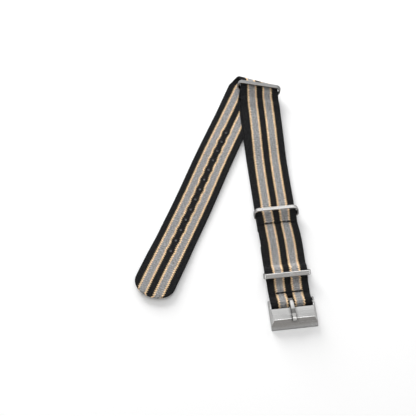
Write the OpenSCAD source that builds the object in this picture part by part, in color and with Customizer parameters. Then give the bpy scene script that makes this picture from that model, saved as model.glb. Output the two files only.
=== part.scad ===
// Fabric watch strap of the pass-through kind, laid out in an A shape: a long striped webbing strap
// with a pin buckle, two sewn-in keepers, and a short under-strap that ends in a third ring.
// The long strap passes through that ring and folds back under itself. Millimetres, +Z up.
// The origin is on the underside, on the centre line, below the upper keeper; +Y runs to the fold.

/* [Webbing] */
// Width of the webbing, which passes between lugs 22 mm apart
strap_w = 21; // [19:0.5:23]
// Thickness of one layer of webbing
web_t = 1.2; // [0.9:0.1:1.5]
// Air between two layers that lie on each other
layer_gap = 0.05; // [0.03:0.01:0.1]
// Length of the free leg from the fold to its tip
tail_len = 138.9; // [120:0.1:160]
// Angle between the two legs
leg_angle = 28; // [22:1:34]
// Depth of the rounded tip of the free leg
tip_depth = 8; // [5:0.5:10]

/* [Holes] */
// Diameter of one adjustment hole
hole_d = 1.7; // [1.4:0.1:2.4]
// Distance from one hole to the next
hole_pitch = 6.5; // [5:0.1:8]
// Number of adjustment holes
hole_count = 13; // [6:1:15]
// Distance from the tip to the first hole
hole_from_tip = 27; // [20:0.5:34]

/* [Keepers] */
// Width of the flat strip that the keepers are bent from
strip_w = 2.5; // [2:0.1:3]
// Thickness of that strip
strip_t = 0.9; // [0.7:0.05:1.1]
// Clear height inside a keeper
keeper_clear = 4.0; // [3.8:0.1:5]
// Clearance between a keeper's side and the webbing edge
keeper_side_gap = 0.5; // [0.3:0.05:0.8]
// Distance from the upper keeper to the lower keeper
keeper_pitch = 32.8; // [28:0.2:36]
// Lean of the lower keeper towards the buckle
lower_lean = 30; // [0:1:34]
// Lean of the upper keeper away from the buckle
upper_lean = 28; // [0:1:34]
// Half height of a sewn keeper pocket
pocket_half = 1.25; // [1.2:0.05:1.5]

/* [End ring] */
// Distance from the upper keeper to the end ring
ring_y = 80.5; // [76:0.5:86]
// Yaw of the end ring, left end away from the buckle
ring_yaw = 17.5; // [8:0.5:20]
// Lean of the end ring away from the buckle
ring_lean = 13; // [0:1:20]
// Half height of the loop that holds the end ring
ring_pocket_half = 1.05; // [1:0.05:1.2]
// Distance from the ring's bar to the centre of the loop's bend
ring_slack = 0.5; // [0.45:0.05:0.7]
// Sideways bow of the long strap at the end ring
bow = 2.5; // [0:0.1:3]
// How far the end ring sits to the left of the long strap's centre line
ring_shift = 0.3; // [0:0.1:0.4]
// Clearance between the end ring's side and the webbing edge
ring_side_gap = 0.8; // [0.6:0.1:1.2]
// Outer corner radius of the end ring
ring_corner = 2.4; // [1.6:0.1:3]
// How far each edge of the long strap is pressed in by the end ring
pinch = 0.3; // [0.2:0.1:0.9]

/* [Fold] */
// Distance from the end ring to the crease line
fold_offset = 2.7; // [2.4:0.1:4]
// Yaw of the crease line
fold_yaw = 21; // [16:1:24]
// Reach of the bend beyond the crease at its left edge
bulge_left = 4.4; // [3:0.1:5]
// Reach of the bend beyond the crease at its right edge
bulge_right = 3.0; // [2.6:0.1:4]

/* [Buckle] */
// Distance from the upper keeper to the spring bar
bar_offset = 48.5; // [46:0.5:54]
// Length of the buckle from the spring bar to its front edge
buckle_len = 12.5; // [11.5:0.5:15]
// Height of the buckle's ridge above the table
ridge_h = 4.8; // [4.6:0.1:5.6]
// Distance from the spring bar to the plate's back edge
plate_back = 2.7; // [2.6:0.1:3.2]
// Thickness of the buckle's side arms
arm_t = 1.0; // [0.8:0.1:1.4]
// Thickness of the buckle plate
plate_t = 1.1; // [0.9:0.1:1.3]
// Width of the tongue
tongue_w = 1.9; // [1.6:0.1:2.4]
// How far each edge of the webbing is pressed in by the buckle
buckle_pinch = 0.5; // [0:0.1:0.8]
// Clearance between an arm and the webbing edge
arm_gap = 0.3; // [0.25:0.05:0.5]

/* [Spring bar] */
// Outer diameter of the bar's tube
bar_d = 1.8; // [1.6:0.05:1.9]
// Diameter of a plunger's tip
tip_d = 0.9; // [0.7:0.05:1]
// Radial running clearance of the plungers and of the buckle on them
run_fit = 0.05; // [0.02:0.01:0.08]

/* [Stitching] */
// Diameter of the sewing thread
thread_d = 0.34; // [0.26:0.02:0.4]
// Length of one stitch
stitch_len = 1.8; // [1.4:0.1:2.4]
// Space between two stitches
stitch_gap = 0.45; // [0.3:0.05:0.8]
// Distance from the spring bar to the buckle seam
buckle_seam = 5.8; // [5.4:0.1:6.6]
// Distance from the upper keeper to each of its seams
keeper_seam = 4.7; // [4.6:0.1:5.4]

/* [Hidden] */

$fn = 48;
half_w = strap_w / 2;
bar_half = half_w - buckle_pinch;
layer = web_t + layer_gap;
tail_lift = web_t + 0.1;
bar_y = -bar_offset;
lower_y = -keeper_pitch;
bar_r = bar_d / 2;
loop_r = bar_r + 0.1;
bar_z = loop_r + web_t;
slot_half = tongue_w / 2 + 0.35;
slot_back = 3.8;
pocket_z = web_t + pocket_half;
crest_z = web_t + 2 * pocket_half;
crest_flat = strip_w / 2 + 0.2;
crest_run = 4.3;
ring_x = bow - ring_shift;
ring_z = tail_lift + web_t + ring_pocket_half;
ring_crest = ring_z + ring_pocket_half;
fold_top = ring_crest + layer;
flap_step = [-13, -8];
flap_end = -2;
short_start = -7;
climb = [34, 50];
bow_start = 10;
short_bow_start = 50;
split_y = 9;
far_start = 58;
far_margin = 5.7;
fold_margin = 9.6;
side_step = 0.55;
plan_step = 4;
over_size = 20;
ring_flap = 7;
ring_seam = ring_flap - 1.1;
ring_half = half_w - 0.1;
descent = 4.6;
keeper_half = half_w + keeper_side_gap;
keeper_corner = 1.7;
ring_inner_half = half_w + ring_side_gap;
keeper_reach = strip_t + keeper_clear;
groove_play = 0.12;
thread_sink = 0.03;
tack_len = 2.9;

function smooth(t) = t <= 0 ? 0 : t >= 1 ? 1 : t * t * (3 - 2 * t);
function ramp(v, a, b) = smooth((v - a) / (b - a));
function mix(a, b, t) = a + (b - a) * t;
function crest(y, c) = 1 - ramp(abs(y - c), crest_flat, crest_run);
function over(z, y, c) = mix(z, crest_z, crest(y, c));

// Undersides of the three webbing layers along the strap
function flap_under(y) = layer * ramp(y, flap_step[0], flap_step[1]);
function short_under(y) = tail_lift * ramp(y, climb[0], climb[1]);
function main_base(y) = layer + (y < 0 ? flap_under(y) : short_under(y));
function bar_rise(y) = (bar_z + loop_r - layer) * (1 - ramp(y, bar_y, bar_y + descent));
function main_under(y) = over(over(main_base(y) + bar_rise(y), y, lower_y), y, 0);

// Undersides near the end ring, along the ring's own direction
function loop_under(v) = mix(tail_lift + layer, ring_crest, ramp(v, -6.6, -crest_flat + 0.2));
function main_far_under(v) = v > -ring_flap - 0.3 ? loop_under(v) + layer
    : mix(tail_lift + layer, tail_lift + 2 * layer, ramp(v, -13, -ring_flap - 0.3));

// Plan of the long and the short strap
function main_cx(y) = bow * pow(max(0, y - bow_start) / (ring_y - bow_start), 2);
function short_cx(y) = ring_x * pow(max(0, y - short_bow_start) / (ring_y - short_bow_start), 2);
function near_edge(y) = half_w - buckle_pinch * (1 - ramp(y, bar_y + 1, bar_y + 11));
function ring_end_y(side) = ring_y - side * half_w * sin(ring_yaw);
function pinched(y, side) = half_w - pinch * (1 - ramp(abs(y - ring_end_y(side)), 3, 10));
function main_edge(y, side) = main_cx(y) + side * pinched(y, side);
function short_edge(y, side) = short_cx(y) + side * half_w;

// Straight lines in plan: the crease, and the line where the short strap becomes the ring's loop
function crease(x) = ring_y + fold_offset - tan(fold_yaw) * (x - ring_x);
function loop_line(x) = ring_y - ring_flap / cos(ring_yaw) - tan(ring_yaw) * (x - ring_x);
function hit_main(y, side, n) = n == 0 ? y : hit_main(crease(main_edge(y, side)), side, n - 1);
function hit_short(y, side, n) = n == 0 ? y : hit_short(loop_line(short_edge(y, side)), side, n - 1);

// Frame of the free leg: x across, y back along the leg to the point where the centre lines meet
meet_offset = 11.4;
meet_y = ring_y + meet_offset;
leg_x = [cos(leg_angle), -sin(leg_angle)];
leg_y = [sin(leg_angle), cos(leg_angle)];
function leg_point(u, v) = [0, meet_y] + u * leg_x + v * leg_y;
function leg_start(u) = (crease(0) - meet_y - u * (leg_x[1] + tan(fold_yaw) * leg_x[0]))
    / (leg_y[1] + tan(fold_yaw) * leg_y[0]);
tip_v = leg_start(0) - tail_len;

// Places a side profile, drawn in y and z, across the strap
module across(half) {
    rotate([90, 0, 90])
        translate([0, 0, -half])
            linear_extrude(2 * half)
                children();
}

module plan(points) {
    linear_extrude(over_size)
        polygon(points);
}

// Plan of the long strap at the buckle, where its edges are pressed in
module near_plan(end) {
    ys = [bar_y, for (y = [bar_y + 1:1:bar_y + 11]) y, end];
    last = len(ys) - 1;
    plan(concat(
        [for (y = ys) [near_edge(y), y]],
        [for (i = [last:-1:0]) [-near_edge(ys[i]), ys[i]]]
    ));
}

// A band of webbing: its underside and, one thickness above along the normal, its top
function lean_of(pts, i) =
    let (a = pts[max(0, i - 1)], b = pts[min(len(pts) - 1, i + 1)])
    (b - a) / norm(b - a);
function top_of(pts, t) = [
    for (i = [len(pts) - 1:-1:0])
        i == 0 || i == len(pts) - 1 ? pts[i] + [0, t]
            : pts[i] + t * [-lean_of(pts, i)[1], lean_of(pts, i)[0]]
];
function straight_top(pts, t) = [for (i = [len(pts) - 1:-1:0]) pts[i] + [0, t]];
function main_side_pts(a, b, step) = [for (i = [0:round((b - a) / step)])
    let (y = mix(a, b, i / round((b - a) / step))) [y, main_under(y)]];

module seam_groove(y, z) {
    groove = thread_d + groove_play;
    translate([-half_w - 1, y - groove / 2, z - thread_d - 2 * thread_sink])
        cube([strap_w + 2, groove, thread_d + 1]);
}

module under_groove(y, z) {
    groove = thread_d + groove_play;
    translate([-half_w - 1, y - groove / 2, z - 1])
        cube([strap_w + 2, groove, thread_d + 1 + 2 * thread_sink]);
}

function seam_1() = bar_y + buckle_seam;
function seam_top(y) = main_under(y) + web_t;

// Long strap from the spring bar to just beyond the upper keeper
module strap_buckle_end() {
    pts = main_side_pts(bar_y, split_y, side_step);
    color([0.15, 0.15, 0.16])
    difference() {
        intersection() {
            across(half_w)
                polygon(concat(pts, top_of(pts, web_t)));
            near_plan(split_y);
        }
        translate([-slot_half, bar_y - 1, 0])
            cube([2 * slot_half, 1 + slot_back, over_size]);
        seam_groove(seam_1(), seam_top(seam_1()));
        seam_groove(-keeper_seam, seam_top(-keeper_seam));
        seam_groove(keeper_seam, seam_top(keeper_seam));
    }
}

// Long strap from there, below the watch, over the end ring's loop and to the crease
module strap_watch_span() {
    near = main_side_pts(split_y, far_start, side_step);
    far_pts = [
        for (v = [far_start - ring_y - far_margin:side_step:fold_margin]) [v, main_far_under(v)]
    ];
    left_end = hit_main(ring_y, -1, 6);
    right_end = hit_main(ring_y, 1, 6);
    color([0.15, 0.15, 0.16])
    union() {
        intersection() {
            across(half_w + 4)
                polygon(concat(near, top_of(near, web_t)));
            plan(concat(
                [[-half_w, split_y], [half_w, split_y]],
                [for (y = [bow_start:plan_step:far_start]) [main_edge(y, 1), y]],
                [for (y = [far_start:-plan_step:bow_start]) [main_edge(y, -1), y]]
            ));
        }
        intersection() {
            at_ring()
                across(half_w + 6)
                    polygon(concat(far_pts, top_of(far_pts, web_t)));
            plan(concat(
                [for (i = [0:10]) let (y = mix(far_start, right_end, i / 10)) [main_edge(y, 1), y]],
                [for (i = [10:-1:0]) let (y = mix(far_start, left_end, i / 10)) [main_edge(y, -1), y]]
            ));
        }
    }
}

// The turn of the long strap round the spring bar, slotted for the tongue
module strap_bar_loop() {
    color([0.15, 0.15, 0.16])
    difference() {
        intersection() {
            translate([-bar_half, bar_y, bar_z])
                rotate([0, 90, 0])
                    difference() {
                        cylinder(r = loop_r + web_t, h = 2 * bar_half);
                        translate([0, 0, -1])
                            cylinder(r = loop_r, h = strap_w + 2);
                    }
            translate([-half_w - 1, bar_y - 5, -1])
                cube([strap_w + 2, 5, 10]);
        }
        translate([-slot_half, bar_y - 5, -1])
            cube([2 * slot_half, 6, 10]);
    }
}

// The layer that returns under the long strap and ends at the upper keeper
module strap_return_flap() {
    pts = [for (i = [0:70]) let (y = mix(bar_y, flap_end, i / 70)) [y, flap_under(y)]];
    color([0.15, 0.15, 0.16])
    difference() {
        intersection() {
            across(half_w)
                polygon(concat(pts, straight_top(pts, web_t)));
            near_plan(flap_end);
        }
        translate([-slot_half, bar_y - 1, -1])
            cube([2 * slot_half, 1 + slot_back, 4]);
        under_groove(seam_1(), 0);
        for (side = [-1, 1])
            intersection() {
                under_groove(lower_y + keeper_seam, 0);
                translate([side * half_w, lower_y, 0])
                    cube([2 * tack_len + 2, 20, 20], center = true);
            }
    }
}

// Bend of the long strap: a shell whose rows run from the crease's top to its bottom
fold_rows = 12;
fold_cols = 10;
fold_mid = (fold_top + web_t) / 2;
fold_rise = fold_top / 2;
fold_n = [sin(fold_yaw), cos(fold_yaw)];
function head_end(s) =
    let (l = hit_main(ring_y, -1, 6), r = hit_main(ring_y, 1, 6))
    mix([main_edge(l, -1), l], [main_edge(r, 1), r], s);
function tail_end(s) =
    mix(leg_point(-half_w, leg_start(-half_w)), leg_point(half_w, leg_start(half_w)), s);
function fold_point(s, turn, off) =
    let (
        base = mix(head_end(s), tail_end(s), turn),
        reach = (mix(bulge_left, bulge_right, s) + off) * sin(180 * turn),
        xy = base + reach * fold_n
    )
    [xy[0], xy[1], fold_mid + (fold_rise + off) * cos(180 * turn)];

module strap_end_fold() {
    row = fold_cols + 1;
    shell = (fold_rows + 1) * row;
    pts = [
        for (off = [web_t / 2, -web_t / 2])
            for (i = [0:fold_rows])
                for (j = [0:fold_cols])
                    fold_point(j / fold_cols, i / fold_rows, off)
    ];
    function at(k, i, j) = k * shell + i * row + j;
    function quad(a, b, c, d) = [[a, b, c], [a, c, d]];
    sheets = [
        for (i = [0:fold_rows - 1])
            for (j = [0:fold_cols - 1])
                each concat(
                    quad(at(0, i, j), at(0, i + 1, j), at(0, i + 1, j + 1), at(0, i, j + 1)),
                    quad(at(1, i, j), at(1, i, j + 1), at(1, i + 1, j + 1), at(1, i + 1, j))
                )
    ];
    edges = [
        for (i = [0:fold_rows - 1])
            each concat(
                quad(at(0, i, 0), at(1, i, 0), at(1, i + 1, 0), at(0, i + 1, 0)),
                quad(at(0, i, fold_cols), at(0, i + 1, fold_cols),
                    at(1, i + 1, fold_cols), at(1, i, fold_cols))
            )
    ];
    ends = [
        for (j = [0:fold_cols - 1])
            each concat(
                quad(at(0, 0, j), at(0, 0, j + 1), at(1, 0, j + 1), at(1, 0, j)),
                quad(at(0, fold_rows, j), at(1, fold_rows, j),
                    at(1, fold_rows, j + 1), at(0, fold_rows, j + 1))
            )
    ];
    color([0.15, 0.15, 0.16])
        polyhedron(pts, concat(sheets, edges, ends));
}

// Free leg, with its rounded tip and its row of holes
module strap_tail() {
    shoulder = tip_v + tip_depth;
    color([0.15, 0.15, 0.16])
    translate([0, meet_y, 0])
        rotate([0, 0, -leg_angle])
            difference() {
                linear_extrude(web_t)
                    polygon(concat(
                        [[half_w, leg_start(half_w)], [-half_w, leg_start(-half_w)]],
                        [for (a = [180:10:360]) [half_w * cos(a), shoulder + tip_depth * sin(a)]]
                    ));
                for (i = [0:hole_count - 1])
                    translate([0, tip_v + hole_from_tip + i * hole_pitch, -1])
                        cylinder(d = hole_d, h = web_t + 2);
            }
}

// Short under-strap, from the upper keeper to the ring's loop
module short_strap() {
    pts = [for (i = [0:60]) let (y = mix(short_start, far_start, i / 60)) [y, short_under(y)]];
    color([0.13, 0.13, 0.14])
    difference() {
        union() {
            across(half_w)
                polygon(concat(pts, top_of(pts, web_t)));
            translate([0, 0, tail_lift])
                linear_extrude(web_t)
                    polygon(concat(
                        [for (i = [0:8]) let (y = mix(far_start, hit_short(ring_y, 1, 6), i / 8))
                            [short_edge(y, 1), y]],
                        [for (i = [8:-1:0]) let (y = mix(far_start, hit_short(ring_y, -1, 6), i / 8))
                            [short_edge(y, -1), y]]
                    ));
        }
        under_groove(-keeper_seam, 0);
        under_groove(keeper_seam, 0);
    }
}

// Puts its children in the frame of the end ring
module at_ring() {
    translate([ring_x, ring_y, 0])
        rotate([0, 0, -ring_yaw])
            children();
}

// End of the short strap, turned over the ring's lower bar and sewn down
module short_strap_loop() {
    turn = [for (a = [-90:10:90]) [cos(a), sin(a)]];
    under = [for (i = [0:14]) let (v = mix(-ring_flap, ring_slack, i / 14)) [v, loop_under(v)]];
    centre = [ring_slack, ring_z];
    inner_r = ring_pocket_half;
    outer_r = ring_pocket_half + web_t;
    color([0.13, 0.13, 0.14])
    at_ring()
        difference() {
            across(ring_half)
                polygon(concat(
                    [[-ring_flap, tail_lift]],
                    [for (p = turn) centre + outer_r * p],
                    straight_top(under, web_t),
                    under,
                    [for (i = [len(turn) - 1:-1:0]) centre + inner_r * turn[i]],
                    [[-ring_flap, tail_lift + web_t]]
                ));
            seam_groove(-ring_seam, loop_under(-ring_seam) + web_t);
            under_groove(-ring_seam, tail_lift);
        }
}

// Flat strip bent to a closed loop: its lower bar lies on the hinge line
module round_rect(w, h, r) {
    translate([-w / 2 + r, -h / 2])
        square([w - 2 * r, h]);
    translate([-w / 2, -h / 2 + r])
        square([w, h - 2 * r]);
    for (sx = [-1, 1], sy = [-1, 1])
        translate([sx * (w / 2 - r), sy * (h / 2 - r)])
            circle(r = r);
}

module keeper_loop(lean, half, corner) {
    rotate([-lean, 0, 0])
        translate([0, strip_w / 2, keeper_reach / 2])
            rotate([90, 0, 0])
                linear_extrude(strip_w)
                    difference() {
                        round_rect(2 * (half + strip_t), keeper_reach + strip_t, corner);
                        round_rect(2 * half, keeper_clear, corner - strip_t);
                    }
}

module lower_keeper() {
    color([0.62, 0.62, 0.63])
        translate([0, lower_y, pocket_z])
            keeper_loop(-lower_lean, keeper_half, keeper_corner);
}

module upper_keeper() {
    color([0.85, 0.85, 0.84])
        translate([0, 0, pocket_z])
            keeper_loop(upper_lean, keeper_half, keeper_corner);
}

module end_ring() {
    color([0.68, 0.68, 0.68])
        at_ring()
            translate([0, 0, ring_z])
                keeper_loop(ring_lean, ring_inner_half, ring_corner);
}

// Buckle frame: two arms on the spring bar, and a hollow ridged plate
arm_in = bar_half + arm_gap;
arm_out = arm_in + arm_t;
front_y = bar_y - buckle_len;
ridge_y = front_y + 3.5;
back_y = bar_y - plate_back;
back_h = 3.5;
lug_r = 2.1;
notch_depth = 0.75;
notch_front = 3;
notch_back = 1.7;
function plate_top(y) = mix(back_h, ridge_h, (back_y - y) / (back_y - ridge_y));

module frame_outline() {
    polygon([
        [front_y, 0], [ridge_y, ridge_h], [back_y, back_h],
        [bar_y, bar_z + lug_r], [bar_y, bar_z - lug_r], [back_y, 0.1]
    ]);
    translate([bar_y, bar_z])
        circle(r = lug_r);
}

module plate_outline() {
    polygon([
        [front_y, 0], [ridge_y, ridge_h], [back_y, back_h], [back_y, back_h - plate_t],
        [ridge_y + 0.45, ridge_h - plate_t - 0.05], [front_y + 1.25, 0]
    ]);
}

module buckle_frame() {
    bevel = 1.5;
    color([0.72, 0.72, 0.72])
    difference() {
        intersection() {
            union() {
                across(arm_out)
                    plate_outline();
                for (side = [-1, 1])
                    translate([side * (arm_in + arm_t / 2), 0, 0])
                        across(arm_t / 2)
                            frame_outline();
            }
            translate([0, bar_y + 5, 0])
                rotate([90, 0, 0])
                    linear_extrude(buckle_len + 10)
                        polygon([
                            [-arm_out, -1], [arm_out, -1], [arm_out, 2.2], [arm_out - bevel, ridge_h + 0.05],
                            [-arm_out + bevel, ridge_h + 0.05], [-arm_out, 2.2]
                        ]);
        }
        translate([-arm_out - 1, bar_y, bar_z])
            rotate([0, 90, 0])
                cylinder(d = tip_d + 2 * run_fit, h = 2 * arm_out + 2);
        translate([-tongue_w / 2 - 0.15, ridge_y - notch_front, ridge_h - notch_depth])
            cube([tongue_w + 0.3, notch_front + notch_back, 2]);
    }
}

// Tongue: an eye on the spring bar and a pin that lies on the plate and drops into its notch
module buckle_tongue() {
    eye_r = 1.75;
    lift = 0.06;
    tip_y = ridge_y - 1.8;
    notch_z = ridge_h - notch_depth + lift;
    color([0.8, 0.8, 0.79])
    across(tongue_w / 2)
        difference() {
            union() {
                translate([bar_y, bar_z])
                    circle(r = eye_r);
                polygon([
                    [bar_y + 0.4, bar_z + 0.9], [bar_y + 0.4, bar_z + eye_r - 0.1],
                    [bar_y - 1.3, bar_z + eye_r + 0.65],
                    [back_y - 0.3, plate_top(back_y - 0.3) + 1.35],
                    [ridge_y + 1.6, plate_top(ridge_y + 1.6) + 1.05],
                    [ridge_y + 0.3, ridge_h + 0.75], [tip_y + 0.3, notch_z + 0.8],
                    [tip_y, notch_z + 0.35], [tip_y + 0.2, notch_z],
                    [ridge_y + 1.0, notch_z], [ridge_y + 1.5, plate_top(ridge_y + 1.5) + lift],
                    [back_y - 0.1, back_h + lift], [back_y + 0.5, back_h - 0.25], [bar_y - 1.2, bar_z + 0.9]
                ]);
            }
            translate([bar_y, bar_z])
                circle(r = bar_r + 0.08);
        }
}

// Spring bar: a tube with crimped ends, two sprung plungers and the coil between them
tube_half = bar_half - 0.3;
crimp = 0.5;
tube_in = bar_r - 0.25;
body_r = tube_in - run_fit;
body_len = 1.9;
body_end = tube_half - crimp - 0.1;
spring_half = body_end - body_len - 0.05;
spring_wire = 0.1;
spring_turns = 14;

module along_bar() {
    translate([0, bar_y, bar_z])
        rotate([0, 90, 0])
            children();
}

module spring_bar_tube() {
    lip = tip_d / 2 + run_fit;
    color([0.7, 0.7, 0.7])
    along_bar()
        rotate_extrude()
            polygon([
                [lip, -tube_half], [bar_r, -tube_half], [bar_r, tube_half], [lip, tube_half],
                [lip, tube_half - crimp], [tube_in, tube_half - crimp],
                [tube_in, -tube_half + crimp], [lip, -tube_half + crimp]
            ]);
}

module plunger(side) {
    color([0.75, 0.75, 0.74])
    along_bar()
        mirror([0, 0, side < 0 ? 1 : 0]) {
            translate([0, 0, body_end - body_len])
                cylinder(r = body_r, h = body_len);
            translate([0, 0, body_end])
                cylinder(d = tip_d, h = arm_out - 0.15 - body_end);
        }
}

module plunger_left() {
    plunger(-1);
}

module plunger_right() {
    plunger(1);
}

// Coil of round wire, swept as rings of points along a helix
module plunger_spring() {
    steps = 8 * spring_turns;
    sides = 6;
    coil_r = body_r - spring_wire;
    half = spring_half - spring_wire;
    pts = [
        for (i = [0:steps])
            let (a = 360 * spring_turns * i / steps, z = mix(-half, half, i / steps))
            for (k = [0:sides - 1])
                let (b = 360 * k / sides, r = coil_r + spring_wire * cos(b))
                [r * cos(a), r * sin(a), z + spring_wire * sin(b)]
    ];
    walls = [
        for (i = [0:steps - 1])
            for (k = [0:sides - 1])
                let (a = i * sides + k, b = i * sides + (k + 1) % sides)
                each [[a, b, b + sides], [a, b + sides, a + sides]]
    ];
    caps = [
        [for (k = [sides - 1:-1:0]) k],
        [for (k = [0:sides - 1]) steps * sides + k]
    ];
    color([0.6, 0.6, 0.6])
    along_bar()
        polyhedron(pts, concat(walls, caps));
}

// Rows of stitches, sunk in the grooves of the webbing
module stitches(from, to, y, z) {
    pitch = stitch_len + stitch_gap;
    count = max(1, floor((to - from + stitch_gap) / pitch));
    start = (from + to - count * pitch + stitch_gap) / 2;
    for (i = [0:count - 1])
        translate([start + i * pitch, y, z])
            rotate([0, 90, 0])
                cylinder(d = thread_d, h = stitch_len, $fn = 8);
}

module seam(y, top, bottom, half) {
    color([0.06, 0.06, 0.07]) {
        stitches(-half, half, y, top - thread_d / 2 - thread_sink);
        stitches(-half + stitch_len / 2, half - stitch_len / 2, y, bottom + thread_d / 2 + thread_sink);
    }
}

module seam_buckle() {
    seam(seam_1(), seam_top(seam_1()), 0, half_w - 0.8);
}

module tacks_lower_keeper() {
    y = lower_y + keeper_seam;
    color([0.06, 0.06, 0.07])
        for (side = [-1, 1], z = [seam_top(y) + thread_d / 2 + thread_sink, thread_d / 2 + thread_sink])
            translate([side * (half_w - 0.5 - tack_len / 2) - tack_len / 2, 0, 0])
                stitches(0.3, tack_len - 0.3, y, z);
}

module seam_upper_keeper() {
    seam(-keeper_seam, seam_top(-keeper_seam), 0, half_w - 0.8);
}

module seam_short_strap() {
    seam(keeper_seam, seam_top(keeper_seam), 0, half_w - 0.8);
}

module seam_end_ring() {
    at_ring()
        seam(-ring_seam, loop_under(-ring_seam) + web_t, tail_lift, half_w - 0.8);
}

strap_buckle_end();
strap_watch_span();
strap_bar_loop();
strap_return_flap();
strap_end_fold();
strap_tail();
short_strap();
short_strap_loop();
buckle_frame();
buckle_tongue();
spring_bar_tube();
plunger_left();
plunger_right();
plunger_spring();
lower_keeper();
upper_keeper();
end_ring();
seam_buckle();
tacks_lower_keeper();
seam_upper_keeper();
seam_short_strap();
seam_end_ring();
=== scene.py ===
"""Looks of a striped webbing watch strap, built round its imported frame.

Sizes in the classes are millimetres. Meshes are made in metres, in the frame's own axes:
+Y runs from the buckle to the bend, +Z up, and the strap lies on z = 0.
"""
import logging
import math
from collections.abc import Callable
from dataclasses import dataclass, field
from enum import Enum

import bmesh
import bpy
import numpy as np
from mathutils import Matrix, Vector


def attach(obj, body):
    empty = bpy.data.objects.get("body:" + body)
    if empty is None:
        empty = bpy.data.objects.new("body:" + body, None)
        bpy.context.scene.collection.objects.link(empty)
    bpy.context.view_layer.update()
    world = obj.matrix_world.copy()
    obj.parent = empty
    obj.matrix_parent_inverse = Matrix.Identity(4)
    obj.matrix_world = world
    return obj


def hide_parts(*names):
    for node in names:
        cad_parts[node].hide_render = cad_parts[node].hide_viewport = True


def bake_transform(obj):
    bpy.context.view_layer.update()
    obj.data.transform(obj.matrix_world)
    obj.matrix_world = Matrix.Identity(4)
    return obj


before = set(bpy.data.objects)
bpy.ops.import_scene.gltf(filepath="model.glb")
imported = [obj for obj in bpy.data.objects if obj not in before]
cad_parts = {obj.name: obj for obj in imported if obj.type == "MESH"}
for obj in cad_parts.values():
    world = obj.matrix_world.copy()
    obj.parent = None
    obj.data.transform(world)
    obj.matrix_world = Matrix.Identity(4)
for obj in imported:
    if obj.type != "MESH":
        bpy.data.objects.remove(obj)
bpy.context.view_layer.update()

log = logging.getLogger("strap")
MM = 0.001
NUDGE = 0.05  # step in millimetres over which a slope is taken
WEAVE_MAP = "weave"  # UV map with each point's place across and along the webbing, in millimetres
INSIDE = "inside"  # share of painted shade at a point: a keeper's inner faces and side walls
SEALED = "sealed"  # share by which a point lies on the melted rim of a hole
WHITE = (1.0, 1.0, 1.0, 1.0)
Array = np.ndarray
Pair = tuple[float, float]
Triple = tuple[float, float, float]
Colour = tuple[float, ...]
Course = Callable[[float], tuple[Array, Array]]  # point and normal at a place along a seam
Piece = bpy.types.Object
Material = bpy.types.Material
Socket = bpy.types.NodeSocket
Input = Socket | float | Colour  # what a node's input takes: another node's output or a value


def smooth(t: Array | float) -> Array | float:
    """Smooth step from 0 to 1."""
    t = np.clip(t, 0.0, 1.0)
    return t * t * (3.0 - 2.0 * t)


def ramp(v: Array | float, a: float, b: float) -> Array | float:
    """Smooth step from a to b."""
    return smooth((v - a) / (b - a))


def mix(a: float, b: float, t: Array | float) -> Array | float:
    """Straight mix of a and b."""
    return a + (b - a) * t


def unit(v: Array) -> Array:
    """Vectors of length one, along the last axis."""
    return v / np.maximum(np.linalg.norm(v, axis=-1, keepdims=True), 1e-12)


def bell(d: Array | float, width: float | Array) -> Array | float:
    """A soft bump of height 1 at d = 0."""
    return np.exp(-((d / width) ** 2))


def plateau(v: Array | float, a: float, b: float, c: float, d: float) -> Array | float:
    """Smooth step up from a to b and down again from c to d."""
    return ramp(v, a, b) * (1.0 - ramp(v, c, d))


class Side(Enum):
    """Left or right edge of a strap, seen with the buckle nearest."""

    LEFT = -1
    RIGHT = 1


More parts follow.
